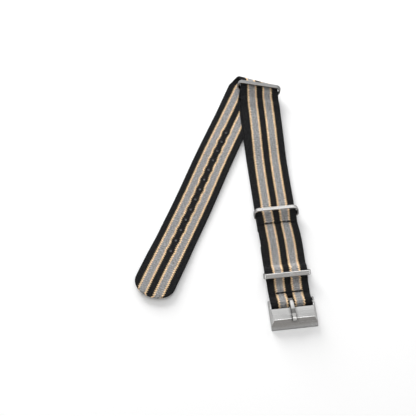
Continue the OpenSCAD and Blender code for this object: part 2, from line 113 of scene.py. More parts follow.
@dataclass(frozen=True)
class StrapForm:
    """Driving sizes of the webbing's route, as in the frame, with the route's formulas."""

    # webbing, and how high the free leg holds what lies on it
    half_w: float = 10.5
    web_t: float = 1.2
    gap: float = 0.05
    tail_lift: float = 1.3
    # buckle end: turn round the spring bar, slot for the tongue, seam, returning layer
    loop_r: float = 1.0
    bar_y: float = -48.5
    descent: float = 4.6
    slot_half: float = 1.3
    slot_back: float = 3.8
    buckle_seam: float = 5.8
    buckle_pinch: float = 0.5
    buckle_pinch_run: Pair = (1.0, 11.0)
    flap_step: Pair = (-24.0, -8.0)
    flap_end: float = -2.0
    # keepers: the lower one's place, the humps over their lower bars, the seams beside them
    lower_y: float = -32.8
    crest_z: float = 3.7
    crest_flat: float = 1.45
    crest_run: float = 5.4
    keeper_seam: float = 4.7
    keeper_pocket: float = 1.25
    # sideways bow of the head leg and of the under-strap, and where their rows begin to fan
    bow: float = 2.5
    bow_start: float = 10.0
    short_start: float = -7.0
    short_bow_start: float = 50.0
    climb: Pair = (34.0, 50.0)
    far_start: float = 58.0
    # end ring and the webbing round its lower bar
    ring_y: float = 80.5
    ring_yaw: float = 17.5
    ring_shift: float = 0.3
    ring_half: float = 10.4
    ring_flap: float = 7.0
    ring_seam: float = 5.9
    ring_slack: float = 0.5
    ring_pocket: float = 1.05
    pinch: float = 0.3
    ring_pinch_run: Pair = (3.0, 10.0)
    loop_rise: Pair = (0.4, 0.2)
    far_rise: Pair = (-13.0, -0.3)
    # bend and free leg
    fold_offset: float = 2.7
    fold_yaw: float = 21.0
    meet_offset: float = 11.4
    leg_angle: float = 28.0
    tail_len: float = 138.9
    tip_depth: float = 8.0
    # holes
    hole_d: float = 1.7
    hole_pitch: float = 6.5
    hole_count: int = 13
    hole_from_tip: float = 27.0

    @property
    def layer(self) -> float:
        """Height of one layer with the air above it."""
        return self.web_t + self.gap

    @property
    def bar_z(self) -> float:
        """Height of the spring bar's axis."""
        return self.loop_r + self.web_t

    @property
    def pocket_z(self) -> float:
        """Height of the keepers' lower bars."""
        return self.web_t + self.keeper_pocket

    @property
    def ring_x(self) -> float:
        """Place across of the end ring."""
        return self.bow - self.ring_shift

    @property
    def ring_z(self) -> float:
        """Height of the end ring's lower bar."""
        return self.tail_lift + self.web_t + self.ring_pocket

    @property
    def ring_crest(self) -> float:
        """Underside of the layer that passes over the ring's lower bar."""
        return self.ring_z + self.ring_pocket

    @property
    def seam_1(self) -> float:
        """Place of the seam at the buckle."""
        return self.bar_y + self.buckle_seam

    def crest(self, y: Array, c: float) -> Array:
        """Share of the hump over a keeper's bar at c."""
        return 1.0 - ramp(np.abs(y - c), self.crest_flat, self.crest_run)

    def flap_under(self, y: Array) -> Array:
        """Underside of the returning layer."""
        return self.layer * ramp(y, *self.flap_step)

    def short_under(self, y: Array) -> Array:
        """Underside of the under-strap."""
        return self.tail_lift * ramp(y, *self.climb)

    def main_under(self, y: Array) -> Array:
        """Underside of the long strap on its head leg.

        Args:
            y: places along the strap, up to far_start.

        Returns:
            The heights there.
        """
        base = self.layer + np.where(y < 0, self.flap_under(y), self.short_under(y))
        rise = self.bar_z + self.loop_r - self.layer
        z = base + rise * (1.0 - ramp(y, self.bar_y, self.bar_y + self.descent))
        for place in (self.lower_y, 0.0):
            z = mix(z, self.crest_z, self.crest(y, place))
        return z

    def loop_under(self, v: Array) -> Array:
        """Underside of the turned end over the ring's lower bar, at v from that bar."""
        start, end = self.loop_rise[0] - self.ring_flap, self.loop_rise[1] - self.crest_flat
        return mix(self.tail_lift + self.layer, self.ring_crest, ramp(v, start, end))

    def loop_slope(self, v: float) -> float:
        """Slope of that underside."""
        return float(self.loop_under(v + NUDGE) - self.loop_under(v - NUDGE)) / (2 * NUDGE)

    def far_under(self, v: Array) -> Array:
        """Underside of the long strap near the ring.

        Args:
            v: distances from the ring's bar.

        Returns:
            The heights there.
        """
        start = self.far_rise[1] - self.ring_flap
        low = self.tail_lift + self.layer
        level = mix(low, low + self.layer, ramp(v, self.far_rise[0], start))
        return np.where(v > start, self.loop_under(v) + self.layer, level)

    def main_cx(self, y: Array) -> Array:
        """Centre line of the long strap in plan."""
        return self.bow * (np.maximum(0.0, y - self.bow_start) / (self.ring_y - self.bow_start)) ** 2

    def short_cx(self, y: Array) -> Array:
        """Centre line of the under-strap in plan."""
        start = self.short_bow_start
        return self.ring_x * (np.maximum(0.0, y - start) / (self.ring_y - start)) ** 2

    def pinched(self, y: Array, side: Side) -> Array:
        """Half width of the long strap, pressed in by the ring and by the buckle.

        Args:
            y: places along the strap.
            side: which of its edges.

        Returns:
            The half widths there.
        """
        end = self.ring_y - side.value * self.half_w * math.sin(math.radians(self.ring_yaw))
        at_ring = self.pinch * (1.0 - ramp(np.abs(y - end), *self.ring_pinch_run))
        at_buckle = self.buckle_pinch * (1.0 - ramp(y - self.bar_y, *self.buckle_pinch_run))
        return self.half_w - at_ring - at_buckle

    def main_edge(self, y: Array, side: Side) -> Array:
        """Edge of the long strap in plan."""
        return self.main_cx(y) + side.value * self.pinched(y, side)

    def crease(self, x: float) -> float:
        """The straight line in plan where the bend begins."""
        return self.ring_y + self.fold_offset - math.tan(math.radians(self.fold_yaw)) * (x - self.ring_x)

    def head_end(self, side: Side) -> Array:
        """Corner of the head leg at the crease, found by repeated steps between edge and crease.

        Args:
            side: which edge of the strap.

        Returns:
            The corner in plan.
        """
        y = self.ring_y
        rounds = 6
        for _ in range(rounds):
            y = self.crease(float(self.main_edge(y, side)))
        return np.array([float(self.main_edge(y, side)), y])

    @property
    def leg_axes(self) -> tuple[Array, Array]:
        """Directions across and back along the free leg."""
        a = math.radians(self.leg_angle)
        return np.array([math.cos(a), -math.sin(a)]), np.array([math.sin(a), math.cos(a)])

    def leg_point(self, u: Array, v: Array) -> Array:
        """Plan point of the free leg.

        Args:
            u: places across it.
            v: places along it.

        Returns:
            The points, one row each.
        """
        across, along = self.leg_axes
        meet = np.array([0.0, self.ring_y + self.meet_offset])
        return meet + np.asarray(u)[..., None] * across + np.asarray(v)[..., None] * along

    def leg_start(self, u: Array) -> Array:
        """Place along the free leg where it meets the crease.

        Args:
            u: places across the leg.

        Returns:
            The place along it for each of them.
        """
        across, along = self.leg_axes
        slope = math.tan(math.radians(self.fold_yaw))
        away = self.crease(0.0) - (self.ring_y + self.meet_offset)
        return (away - u * (across[1] + slope * across[0])) / (along[1] + slope * along[0])

    @property
    def tip_v(self) -> float:
        """Place of the tip along the free leg."""
        return float(self.leg_start(0.0)) - self.tail_len

    def ring_to_plan(self, u: Array, v: Array) -> Array:
        """Plan point from the end ring's own axes.

        Args:
            u: places along the ring's bar.
            v: places square to it.

        Returns:
            The points, one row each.
        """
        a = math.radians(self.ring_yaw)
        x = self.ring_x + u * math.cos(a) + v * math.sin(a)
        y = self.ring_y - u * math.sin(a) + v * math.cos(a)
        return np.stack(np.broadcast_arrays(x, y), axis=-1)

    def plan_to_ring_v(self, x: Array, y: Array) -> Array:
        """Distance from the ring's bar of a plan point."""
        a = math.radians(self.ring_yaw)
        return (x - self.ring_x) * math.sin(a) + (y - self.ring_y) * math.cos(a)


def add_object(name: str, data: bpy.types.ID) -> Piece:
    """A new object in the scene.

    Args:
        name: its name.
        data: its mesh, lamp or camera.

    Returns:
        The object.
    """
    made = bpy.data.objects.new(name, data)
    bpy.context.scene.collection.objects.link(made)
    return made


def shaded_object(name: str, work: bmesh.types.BMesh, mesh: bpy.types.Mesh, sharp: float) -> Piece:
    """Turns worked-on faces into a smooth-shaded object.

    Args:
        name: the piece's name.
        work: the faces, which are written to the mesh and freed.
        mesh: the mesh that gets them.
        sharp: angle in degrees above which an edge shades sharp.

    Returns:
        The new object, in the scene.
    """
    bmesh.ops.recalc_face_normals(work, faces=work.faces)
    work.to_mesh(mesh)
    work.free()
    mesh.shade_smooth()
    mesh.set_sharp_from_angle(angle=math.radians(sharp))
    return add_object(name, mesh)


def mesh_object(
    name: str, verts: Array, faces: list[tuple[int, ...]], weave: Array | None = None, sharp: float = 42.0
) -> Piece:
    """Makes a smooth-shaded object from points in millimetres.

    Args:
        name: the piece's name.
        verts: points, one row each.
        faces: corner indices of each face.
        weave: place of each point across and along the webbing, in millimetres.
        sharp: angle in degrees above which an edge shades sharp.

    Returns:
        The new object, in the scene.
    """
    mesh = bpy.data.meshes.new(name)
    mesh.from_pydata((verts * MM).tolist(), [], faces)
    if weave is not None:
        layer = mesh.uv_layers.new(name=WEAVE_MAP)
        corner = np.empty(len(mesh.loops), np.int32)
        mesh.loops.foreach_get("vertex_index", corner)
        layer.data.foreach_set("uv", weave[corner].astype(np.float32).ravel())
    work = bmesh.new()
    work.from_mesh(mesh)
    return shaded_object(name, work, mesh, sharp)


def mark(piece: Piece, name: str, levels: Array) -> None:
    """Gives each point of a piece a number that its material reads."""
    piece.data.attributes.new(name, "FLOAT", "POINT").data.foreach_set("value", levels)


def tube_faces(rings: int, sides: int, base: int = 0, closed: bool = False) -> list[tuple[int, ...]]:
    """Faces of a tube.

    Args:
        rings: number of its rings of points.
        sides: points in each.
        base: index of the first point.
        closed: whether the last ring joins the first. Otherwise both ends are capped.

    Returns:
        Corner indices of each face.
    """
    faces = []
    for i in range(rings if closed else rings - 1):
        a, b = base + i * sides, base + (i + 1) % rings * sides
        for k in range(sides):
            m = (k + 1) % sides
            faces.append((a + k, a + m, b + m, b + k))
    if not closed:
        end = base + (rings - 1) * sides
        faces += [tuple(range(base, base + sides)), tuple(range(end + sides - 1, end - 1, -1))]
    return faces


def place(
    piece: Piece,
    body: str | tuple[str, str, Vector, Vector],
    slot: str,
    finish: Material,
    nodes: tuple[str, ...],
) -> None:
    """Dresses a piece, ties it to its body and says which nodes it stands for.

    Args:
        piece: the finished object.
        body: the body it rides on, or two bodies with the start and end of a blend; for those no blend is
            made and the piece is fixed where it stands.
        slot: the record's material slot; not used.
        finish: its material.
        nodes: the CAD nodes that it replaces.
    """
    piece.data.materials.clear()
    piece.data.materials.append(finish)
    if isinstance(body, str):
        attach(piece, body)
    else:
        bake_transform(piece)
    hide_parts(*nodes)
    log.info("%s: %d faces, stands for %s", piece.name, len(piece.data.polygons), ", ".join(nodes))


@dataclass
class Slab:
    """A band of webbing round a grid of mid-surface points, with rounded edges.

    Rows run along the band and columns across it. The edges lie edge_r beyond the outer columns.

    Attributes:
        mid: points of the mid-surface.
        normal: unit vectors out of the band's outer side.
        weave: place of each point across and along the webbing.
        outer: distance of the outer side from the mid-surface.
        inner: distance of the inner side from it.
        cut: cells that are left out.
        round_tip: whether the last row is a rounded edge too.
        walled: whether the sides of the cells that are left out are closed.
        scallop: share by which the selvedge's turns of yarn stand out and draw in.
        sealed: points on melted rims, with the share by which each is melted.
    """

    mid: Array
    normal: Array
    weave: Array
    outer: Array | float
    inner: Array | float
    cut: Array | None = None
    edge_r: float = 0.65
    arc_steps: int = 6
    round_tip: bool = False
    walled: bool = True
    scallop: float = 0.07
    verts: list[Array] = field(default_factory=list)
    uv: list[Array] = field(default_factory=list)
    faces: list[tuple[int, ...]] = field(default_factory=list)
    sealed: list[tuple[Array, float]] = field(default_factory=list)
    count: int = 0

    def __post_init__(self) -> None:
        """Spreads the distances over the grid, and leaves out no cell where none is given."""
        rows, cols = self.mid.shape[:2]
        self.outer, self.inner = (np.broadcast_to(d, (rows, cols)) for d in (self.outer, self.inner))
        if self.cut is None:
            self.cut = np.zeros((rows - 1, cols - 1), bool)

    def add(self, points: Array, uv: Array) -> Array:
        """Adds points to the band.

        Args:
            points: the points, in a grid of any shape.
            uv: their places on the webbing.

        Returns:
            Their indices, in the shape of the grid.
        """
        shape = points.shape[:-1]
        self.verts.append(points.reshape(-1, 3))
        self.uv.append(np.broadcast_to(uv, (*shape, 2)).reshape(-1, 2))
        size = int(np.prod(shape))
        index = np.arange(self.count, self.count + size).reshape(shape)
        self.count += size
        return index

    def border(self) -> list[list[tuple[int, int]]]:
        """Grid places along the rounded edges.

        Returns:
            One run of places for each edge, from its start to its end.
        """
        rows, cols = self.mid.shape[:2]
        left = [(i, 0) for i in range(rows)]
        right = [(i, cols - 1) for i in range(rows)]
        if not self.round_tip:
            return [left, right]
        tip = [(rows - 1, j) for j in range(1, cols - 1)]
        return [left + tip + right[::-1]]

    def outward(self, run: list[tuple[int, int]]) -> Array:
        """Unit vectors that point out of the band along one of its edges.

        Args:
            run: grid places along that edge.

        Returns:
            One vector for each place.
        """
        i, j = np.array(run).T
        centre = self.mid[i, self.mid.shape[1] // 2]
        if self.round_tip:
            points = self.mid[i, j]
            along = unit(np.gradient(points, axis=0))
            out = unit(np.cross(along, self.normal[i, j]))
            return out * np.sign(np.median(((points - centre) * out).sum(-1)))
        near = np.where(j == 0, 1, self.mid.shape[1] - 2)
        out = self.mid[i, j] - self.mid[i, near]
        out -= (out * self.normal[i, j]).sum(-1, keepdims=True) * self.normal[i, j]
        return unit(out)

    def build(self) -> tuple[Array, Array]:
        """Makes the two sides, the rounded edges, the walls of cuts and the flat ends.

        Returns:
            Indices of the outer and of the inner side's grid points.
        """
        top = self.add(self.mid + self.normal * self.outer[..., None], self.weave)
        low = self.add(self.mid - self.normal * self.inner[..., None], self.weave)
        rows, cols = self.mid.shape[:2]
        for i in range(rows - 1):
            for j in range(cols - 1):
                if not self.cut[i, j]:
                    self.faces.append((top[i, j], top[i, j + 1], top[i + 1, j + 1], top[i + 1, j]))
                    self.faces.append((low[i, j], low[i + 1, j], low[i + 1, j + 1], low[i, j + 1]))
        if self.walled:
            self.wall_cuts(top, low)
        for run in self.border():
            self.round_edge(run, top, low)
        for j in range(cols - 1):
            if not self.cut[0, j]:
                self.faces.append((top[0, j], low[0, j], low[0, j + 1], top[0, j + 1]))
            if not self.round_tip and not self.cut[-1, j]:
                self.faces.append((top[-1, j], top[-1, j + 1], low[-1, j + 1], low[-1, j]))
        return top, low

    def wall_cuts(self, top: Array, low: Array) -> None:
        """Closes the sides of cells that are left out.

        Args:
            top: indices of the outer side's points.
            low: indices of the inner side's points.
        """
        rows, cols = self.cut.shape
        for i in range(rows):
            for j in range(1, cols):
                if self.cut[i, j - 1] != self.cut[i, j]:
                    self.faces.append((top[i, j], top[i + 1, j], low[i + 1, j], low[i, j]))
        for i in range(1, rows):
            for j in range(cols):
                if self.cut[i - 1, j] != self.cut[i, j]:
                    self.faces.append((top[i, j], low[i, j], low[i, j + 1], top[i, j + 1]))

    def round_edge(self, run: list[tuple[int, int]], top: Array, low: Array) -> None:
        """Adds the rounded selvedge along one edge, with its slight scallops.

        Args:
            run: grid places along that edge.
            top: indices of the outer side's points.
            low: indices of the inner side's points.
        """
        i, j = np.array(run).T
        out = self.outward(run)
        edge, normal = self.mid[i, j], self.normal[i, j]
        scallop = 1.0 + self.scallop * np.where(np.arange(len(run)) % 2, 1.0, -1.0)
        scallop[[0, -1]] = 1.0
        side = np.sign(self.weave[i, j, 0])
        rings = [top[i, j]]
        for k in range(1, self.arc_steps):
            a = math.pi * (0.5 - k / self.arc_steps)
            reach = self.edge_r * math.cos(a) * scallop
            lift = math.sin(a) * np.where(a > 0, self.outer[i, j], self.inner[i, j])
            uv = self.weave[i, j] + np.stack([side * reach, np.zeros(len(run))], axis=-1)
            rings.append(self.add(edge + out * reach[:, None] + normal * lift[:, None], uv))
        rings.append(low[i, j])
        for a, b in zip(rings, rings[1:]):
            for k in range(len(run) - 1):
                self.faces.append((int(a[k]), int(b[k]), int(b[k + 1]), int(a[k + 1])))
        for k in (0, -1):
            self.faces.append(tuple(int(r[k]) for r in rings))

    def piece(self, name: str) -> Piece:
        """The finished mesh object.

        Args:
            name: the piece's name.

        Returns:
            The object, with the melted points marked.
        """
        faces = [tuple(int(c) for c in f) for f in self.faces]
        piece = mesh_object(name, np.concatenate(self.verts), faces, np.concatenate(self.uv))
        melt = np.zeros(self.count)
        for ring, level in self.sealed:
            melt[ring] = level
        mark(piece, SEALED, melt)
        return piece


def profile_rows(y: Array, z: Array, outward: float) -> tuple[Array, Array]:
    """Normals and running length of a side profile.

    Args:
        y: places along the strap.
        z: heights there.
        outward: 1 where the outer side is left of the way along, seen from +X, else -1.

    Returns:
        Unit normals as rows of y and z, and the length run at each point.
    """
    way = unit(np.stack([np.gradient(y), np.gradient(z)], axis=-1))
    normal = np.stack([-way[:, 1], way[:, 0]], axis=-1) * outward
    step = np.hypot(np.diff(y), np.diff(z))
    return normal, np.concatenate([[0.0], np.cumsum(step)])


def seam_rows(a: float, b: float, step: float, seams: tuple[float, ...]) -> Array:
    """Places along a strip, closer together round each seam.

    Args:
        a: where they start.
        b: where they end.
        step: distance between them away from the seams.
        seams: places of the seams.

    Returns:
        The places in order.
    """
    fine, reach = 0.2, 1.2
    places = [a]
    way = 1.0 if b > a else -1.0
    while (b - places[-1]) * way > 1e-6:
        here = places[-1]
        close = any(abs(here + way * fine - s) < reach for s in seams)
        places.append(here + way * (fine if close else step))
    places[-1] = b
    if len(places) > 2 and abs(places[-2] - b) < fine:
        places.pop(-2)
    return np.array(places)


@dataclass
class LongStrap:
    """The long strap: returning layer, turn round the bar, head leg, bend and free leg.

    Places on the free leg are counted from the point where the two legs' centre lines meet.

    Attributes:
        groove: depth that a seam presses into the top, under_groove below; groove_w is its width.
        wander: sideways drifts of the head leg: how far, where, and over what length.
        calm: where the drift dies out before the crease.
        squeeze: how far the webbing is drawn in below each keeper, squeeze_below from its bar.
        flare: how far its right edge spreads under the upper keeper, at flare_y over flare_run.
        fold_reach: how far the bend reaches beyond the crease, at its left and its right end.
        draw_in: how far the edges are drawn in beside the holes, over draw_span.
        sway: sideways bow of the free leg, at sway_at; sway_low is the one over sway_span.
        lift_mid: height by which the leg bows up, at lift_at; lift_low and lift_tip are its far end's.
        rim: rings of a hole's melted rim: radius, rise above the webbing, and share of melt.
        rim_wall: rings narrower than this follow the bore.
        hole_taper: width of a hole's far end, as a share of its near end's.
        head_run: length of webbing up to the crease, set by head().
    """

    form: StrapForm
    finish: Material
    step: float = 0.55
    edge_r: float = 0.65
    columns_across: int = 35
    columns_beside_slot: int = 15
    columns_in_slot: int = 5
    bar_turn_steps: int = 22
    far_rows: int = 56
    bend_rows: int = 40
    tip_rows: int = 16
    groove: float = 0.26
    under_groove: float = 0.26
    groove_w: float = 0.5
    wander: tuple[Triple, ...] = (
        (-0.14, -42.0, 8.0), (0.36, -18.0, 9.0), (-0.22, 0.5, 7.5), (0.28, 58.0, 19.0),
    )
    calm: Pair = (66.0, 76.0)
    squeeze: float = 0.3
    squeeze_below: float = 3.2
    squeeze_run: Pair = (6.0, 2.4)
    flare: float = 0.34
    flare_y: float = 1.1
    flare_run: float = 1.2
    fold_reach: Pair = (3.9, 2.2)
    bend_length: float = 10.8
    draw_in: float = 0.25
    draw_from: float = 6.5
    draw_span: tuple[float, float, float, float] = (12.0, 30.0, 112.0, 126.0)
    sway: float = 0.2
    sway_at: Pair = (91.0, 16.0)
    sway_low: float = 0.2
    sway_span: tuple[float, float, float, float] = (58.0, 86.0, 112.0, 136.0)
    lift_mid: float = 0.9
    lift_at: Pair = (57.0, 19.0)
    lift_start: Pair = (14.0, 40.0)
    lift_low: float = 0.6
    lift_low_run: Pair = (58.0, 86.0)
    lift_tip: float = 1.0
    lift_tip_run: Pair = (108.0, 142.0)
    hole_rows: int = 12
    hole_cells: int = 6
    hole_taper: float = 0.45
    hole_spread: float = 0.26
    spread_run: Pair = (3.4, 1.5)
    rim: tuple[Triple, ...] = (
        (1.55, 0.0, 0.0), (1.3, 0.03, 0.5), (1.12, 0.09, 1.0),
        (1.0, 0.08, 1.0), (0.9, -0.02, 0.7), (0.86, -0.16, 0.2),
    )
    rim_wall: float = 0.95
    rim_reach: float = 1.5
    head_run: float = 0.0

    def columns(self, slotted: bool) -> Array:
        """Places of the grid's columns across the strap.

        Args:
            slotted: whether the tongue's slot has its own columns.

        Returns:
            The places, from left to right.
        """
        side = self.form.half_w - self.edge_r
        if not slotted:
            return np.linspace(-side, side, self.columns_across)
        slot = self.form.slot_half
        outer = np.linspace(slot, side, self.columns_beside_slot)
        middle = np.linspace(-slot, slot, self.columns_in_slot)
        return np.concatenate([-outer[::-1], middle[1:-1], outer])

    def head_profile(self) -> tuple[Array, ...]:
        """Side profile from the returning layer's end, round the bar, to far_start.

        Returns:
            Places, heights of the mid-surface, normals, length run and the outer side's distance.
        """
        f = self.form
        half = f.web_t / 2
        flap_y = seam_rows(f.flap_end, f.bar_y, self.step, (f.seam_1,))[:-1]
        flap_z = f.flap_under(flap_y) + half
        turn = np.linspace(-math.pi / 2, math.pi / 2, self.bar_turn_steps + 1)[:-1]
        radius = f.loop_r + half
        loop_y = f.bar_y - radius * np.cos(turn)
        loop_z = f.bar_z + radius * np.sin(turn)
        seams = (f.seam_1, -f.keeper_seam, f.keeper_seam)
        head_y = seam_rows(f.bar_y, f.far_start, self.step, seams)
        under = f.main_under(head_y)
        slope = np.gradient(under, head_y)
        head_n = unit(np.stack([-slope, np.ones_like(slope)], axis=-1))
        head = np.stack([head_y, under], axis=-1) + half * head_n
        y = np.concatenate([flap_y, loop_y, head[:, 0]])
        z = np.concatenate([flap_z, loop_z, head[:, 1]])
        normal, run = profile_rows(y, z, -1.0)
        turn_n = np.stack([-np.cos(turn), np.sin(turn)], axis=-1)
        first = len(flap_y)
        normal[first:first + len(turn)] = turn_n
        normal[first + len(turn):] = head_n
        outer = np.full(len(y), half)
        flap_seam = bell(flap_y - f.seam_1, self.groove_w)
        outer[:first] -= self.under_groove * flap_seam
        for seam in seams:
            outer[first + len(turn):] -= self.groove * bell(head_y - seam, self.groove_w)
        return y, z, normal, run, outer

    def head(self) -> Piece:
        """The returning layer, the turn round the bar and the head leg, as one run of webbing.

        Returns:
            The piece, which ends at the crease.
        """
        f = self.form
        u = self.columns(slotted=True)
        y, z, normal, run, outer = self.head_profile()
        rows, cols = len(y), len(u)
        centre = f.main_cx(y) + self.drift(y) * (z > f.web_t)
        x = centre[:, None] + u[None, :] * self.head_width(y, u) / f.half_w
        mid = np.stack(np.broadcast_arrays(x, y[:, None], z[:, None]), axis=-1)
        out = np.zeros((rows, cols, 3))
        out[..., 1:] = normal[:, None, :]
        v = np.broadcast_to(run[:, None], x.shape)
        far_mid, far_normal, far_v = self.far_span(u, float(run[-1]))
        mid = np.concatenate([mid, far_mid[1:]])
        out = np.concatenate([out, far_normal[1:]])
        v = np.concatenate([v, far_v[1:]])
        outer = np.concatenate([outer, np.full(self.far_rows, f.web_t / 2)])
        slab = Slab(mid, out, np.stack(np.broadcast_arrays(u, v), axis=-1), outer[:, None], f.web_t / 2)
        in_slot = np.abs(0.5 * (u[1:] + u[:-1])) < f.slot_half
        slot_rows = 0.5 * (y[1:] + y[:-1]) < f.bar_y + f.slot_back
        slab.cut[:rows - 1][np.ix_(slot_rows, in_slot)] = True
        slab.build()
        self.head_run = float(far_v[-1].mean())
        return slab.piece("long_strap_head_leg")

    def head_width(self, y: Array, u: Array) -> Array:
        """Half width of the head leg, drawn in below the keepers and spread under the upper one.

        Args:
            y: places along it, one for each row.
            u: places across it, one for each column.

        Returns:
            The half width on the point's own side, for each point.
        """
        left, right = (self.form.pinched(y, side)[:, None] for side in Side)
        wide = np.where(u < 0, left, right)
        for keeper_y in (self.form.lower_y, 0.0):
            reach = np.where(y < keeper_y - self.squeeze_below, *self.squeeze_run)
            wide -= self.squeeze * bell(y + self.squeeze_below - keeper_y, reach)[:, None]
        return wide + self.flare * bell(y - self.flare_y, self.flare_run)[:, None] * (u > 0)

    def drift(self, y: Array) -> Array:
        """How far the cloth wanders sideways, none of it at the crease."""
        total = sum(reach * bell(y - at, width) for reach, at, width in self.wander)
        return total * (1.0 - ramp(y, *self.calm))

    def far_span(self, u: Array, run: float) -> tuple[Array, Array, Array]:
        """Rows that fan from far_start to the slanted crease.

        Args:
            u: places of the columns.
            run: length of webbing up to far_start.

        Returns:
            Points of the mid-surface, their normals and the length run at each.
        """
        f = self.form
        left, right = f.head_end(Side.LEFT), f.head_end(Side.RIGHT)
        t = np.linspace(0.0, 1.0, self.far_rows + 1)
        yl, yr = mix(f.far_start, left[1], t), mix(f.far_start, right[1], t)
        xl = f.main_edge(yl, Side.LEFT) + self.drift(yl)
        xr = f.main_edge(yr, Side.RIGHT) + self.drift(yr)
        s = (u + f.half_w) / (2 * f.half_w)
        x = xl[:, None] + (xr - xl)[:, None] * s
        y = yl[:, None] + (yr - yl)[:, None] * s
        v = f.plan_to_ring_v(x, y)
        under = f.far_under(v)
        slope = (f.far_under(v + NUDGE) - f.far_under(v - NUDGE)) / (2 * NUDGE)
        a = math.radians(f.ring_yaw)
        normal = unit(np.stack([-slope * math.sin(a), -slope * math.cos(a), np.ones_like(v)], axis=-1))
        mid = np.stack([x, y, under], axis=-1) + normal * f.web_t / 2
        return mid, normal, run + y - f.far_start

    def bend_point(self, s: Array, turn: Array) -> Array:
        """Mid-surface of the bend.

        Args:
            s: share of the way across, from left to right.
            turn: share of the way from its top to its bottom.

        Returns:
            The points.
        """
        f = self.form
        s, turn = np.broadcast_arrays(s, turn)
        head_l, head_r = f.head_end(Side.LEFT), f.head_end(Side.RIGHT)
        ends = [f.leg_point(side * f.half_w, f.leg_start(side * f.half_w)) for side in (-1.0, 1.0)]
        head = head_l + s[..., None] * (head_r - head_l)
        tail = ends[0] + s[..., None] * (ends[1] - ends[0])
        a = math.radians(f.fold_yaw)
        out = np.array([math.sin(a), math.cos(a)])
        reach = mix(self.fold_reach[0], self.fold_reach[1], s) * np.sin(math.pi * turn)
        plan = head + (tail - head) * turn[..., None] + reach[..., None] * out
        top = f.ring_crest + f.layer
        z = (top + f.web_t) / 2 + top / 2 * np.cos(math.pi * turn)
        return np.concatenate([plan, z[..., None]], axis=-1)

    def bend(self) -> Piece:
        """The soft bend of the long strap beyond the end ring.

        Returns:
            The piece, from the head leg's crease to the free leg's.
        """
        f = self.form
        u = self.columns(slotted=False)
        s = ((u + f.half_w) / (2 * f.half_w))[None, :]
        turn = np.linspace(0.0, 1.0, self.bend_rows + 1)[:, None]
        tiny = 1e-4
        across = self.bend_point(s + tiny, turn) - self.bend_point(s - tiny, turn)
        along = self.bend_point(s, turn + tiny) - self.bend_point(s, turn - tiny)
        normal = unit(np.cross(across, along))
        normal[0], normal[-1] = (0.0, 0.0, 1.0), (0.0, 0.0, -1.0)
        mid = self.bend_point(s, turn)
        start = self.head_run + (mid[:1, :, 1] - mid[:1, :, 1].mean())
        v = start + (self.leg_run(u)[None, :] - start) * turn
        weave = np.stack(np.broadcast_arrays(u, v), axis=-1)
        slab = Slab(mid, normal, weave, f.web_t / 2, f.web_t / 2)
        slab.build()
        return slab.piece("long_strap_bend")

    def leg_run(self, u: Array) -> Array:
        """Length run at the free leg's start, for places across it."""
        start = self.form.leg_start(u) - float(self.form.leg_start(0.0))
        return self.head_run + self.bend_length - start

    def leg_rows(self, u: Array) -> tuple[Array, int]:
        """Places along the free leg for each row and column, down to the shoulder of the tip.

        Args:
            u: places of the columns.

        Returns:
            The places, and the row at which the rows that fit the holes begin.
        """
        f = self.form
        step = f.hole_pitch / self.hole_rows
        block = self.hole_cells // 2 * step
        first = f.tip_v + f.hole_from_tip
        last = first + (f.hole_count - 1) * f.hole_pitch + block
        shoulder = f.tip_v + f.tip_depth
        start = f.leg_start(u)
        fan = int(round((float(f.leg_start(0.0)) - last) / step))
        t = np.linspace(0.0, 1.0, fan + 1)[:, None]
        top = start[None, :] + (last - start)[None, :] * t
        steps = int(round((last - (first - block)) / step))
        holes = last - step * np.arange(1, steps + 1)
        count = int(round((first - block - shoulder) / step))
        low = np.linspace(first - block, shoulder, count + 1)[1:]
        straight = np.concatenate([holes, low])[:, None]
        return np.concatenate([top, np.broadcast_to(straight, (len(straight), len(u)))]), fan

    def leg(self) -> Piece:
        """The free leg, with its round tip and its row of heat-sealed holes.

        Returns:
            The piece, from the crease to the tip.
        """
        f = self.form
        u = self.columns(slotted=False)
        side = f.half_w - self.edge_r
        v, fan = self.leg_rows(u)
        a = (u / side)[None, :]
        b = np.linspace(0.0, 1.0, self.tip_rows + 1)[1:, None]
        depth = f.tip_depth - self.edge_r
        tip_u = side * a * np.sqrt(1.0 - b * b / 2.0)
        tip_v = v[-1, 0] - depth * b * np.sqrt(1.0 - a * a / 2.0)
        across = np.concatenate([np.broadcast_to(u, v.shape), tip_u])
        along = np.concatenate([v, tip_v])
        plan = f.leg_point(across + self.leg_shift(across, along), along)
        lift = self.lift_mid * bell(along + self.lift_at[0], self.lift_at[1]) * ramp(-along, *self.lift_start)
        lift = lift + self.lift_low * ramp(-along, *self.lift_low_run)
        lift = lift + self.lift_tip * ramp(-along, *self.lift_tip_run)
        mid = np.concatenate([plan, (f.web_t / 2 + lift)[..., None]], axis=-1)
        normal = np.broadcast_to(np.array([0.0, 0.0, -1.0]), mid.shape).copy()
        run = self.head_run + self.bend_length + float(f.leg_start(0.0)) - along
        weave = np.stack([across * self.yarn_squeeze(across, along), run], axis=-1)
        slab = Slab(mid, normal, weave, f.web_t / 2, f.web_t / 2, round_tip=True, walled=False)
        blocks = self.hole_blocks(fan, slab.cut)
        top, low = slab.build()
        for rows, cols in blocks:
            self.add_hole(slab, top, low, rows, cols)
        return slab.piece("long_strap_free_leg")

    def leg_shift(self, across: Array, along: Array) -> Array:
        """How far the free leg bows sideways and is drawn in beside its holes.

        Args:
            across: places across it.
            along: places along it.

        Returns:
            The shift to the right at each place.
        """
        outer = np.sign(across) * ramp(np.abs(across), self.draw_from, self.form.half_w - self.edge_r)
        shift = self.sway * bell(along + self.sway_at[0], self.sway_at[1])
        shift = shift - self.draw_in * outer * plateau(-along, *self.draw_span)
        return shift + self.sway_low * plateau(-along, *self.sway_span)

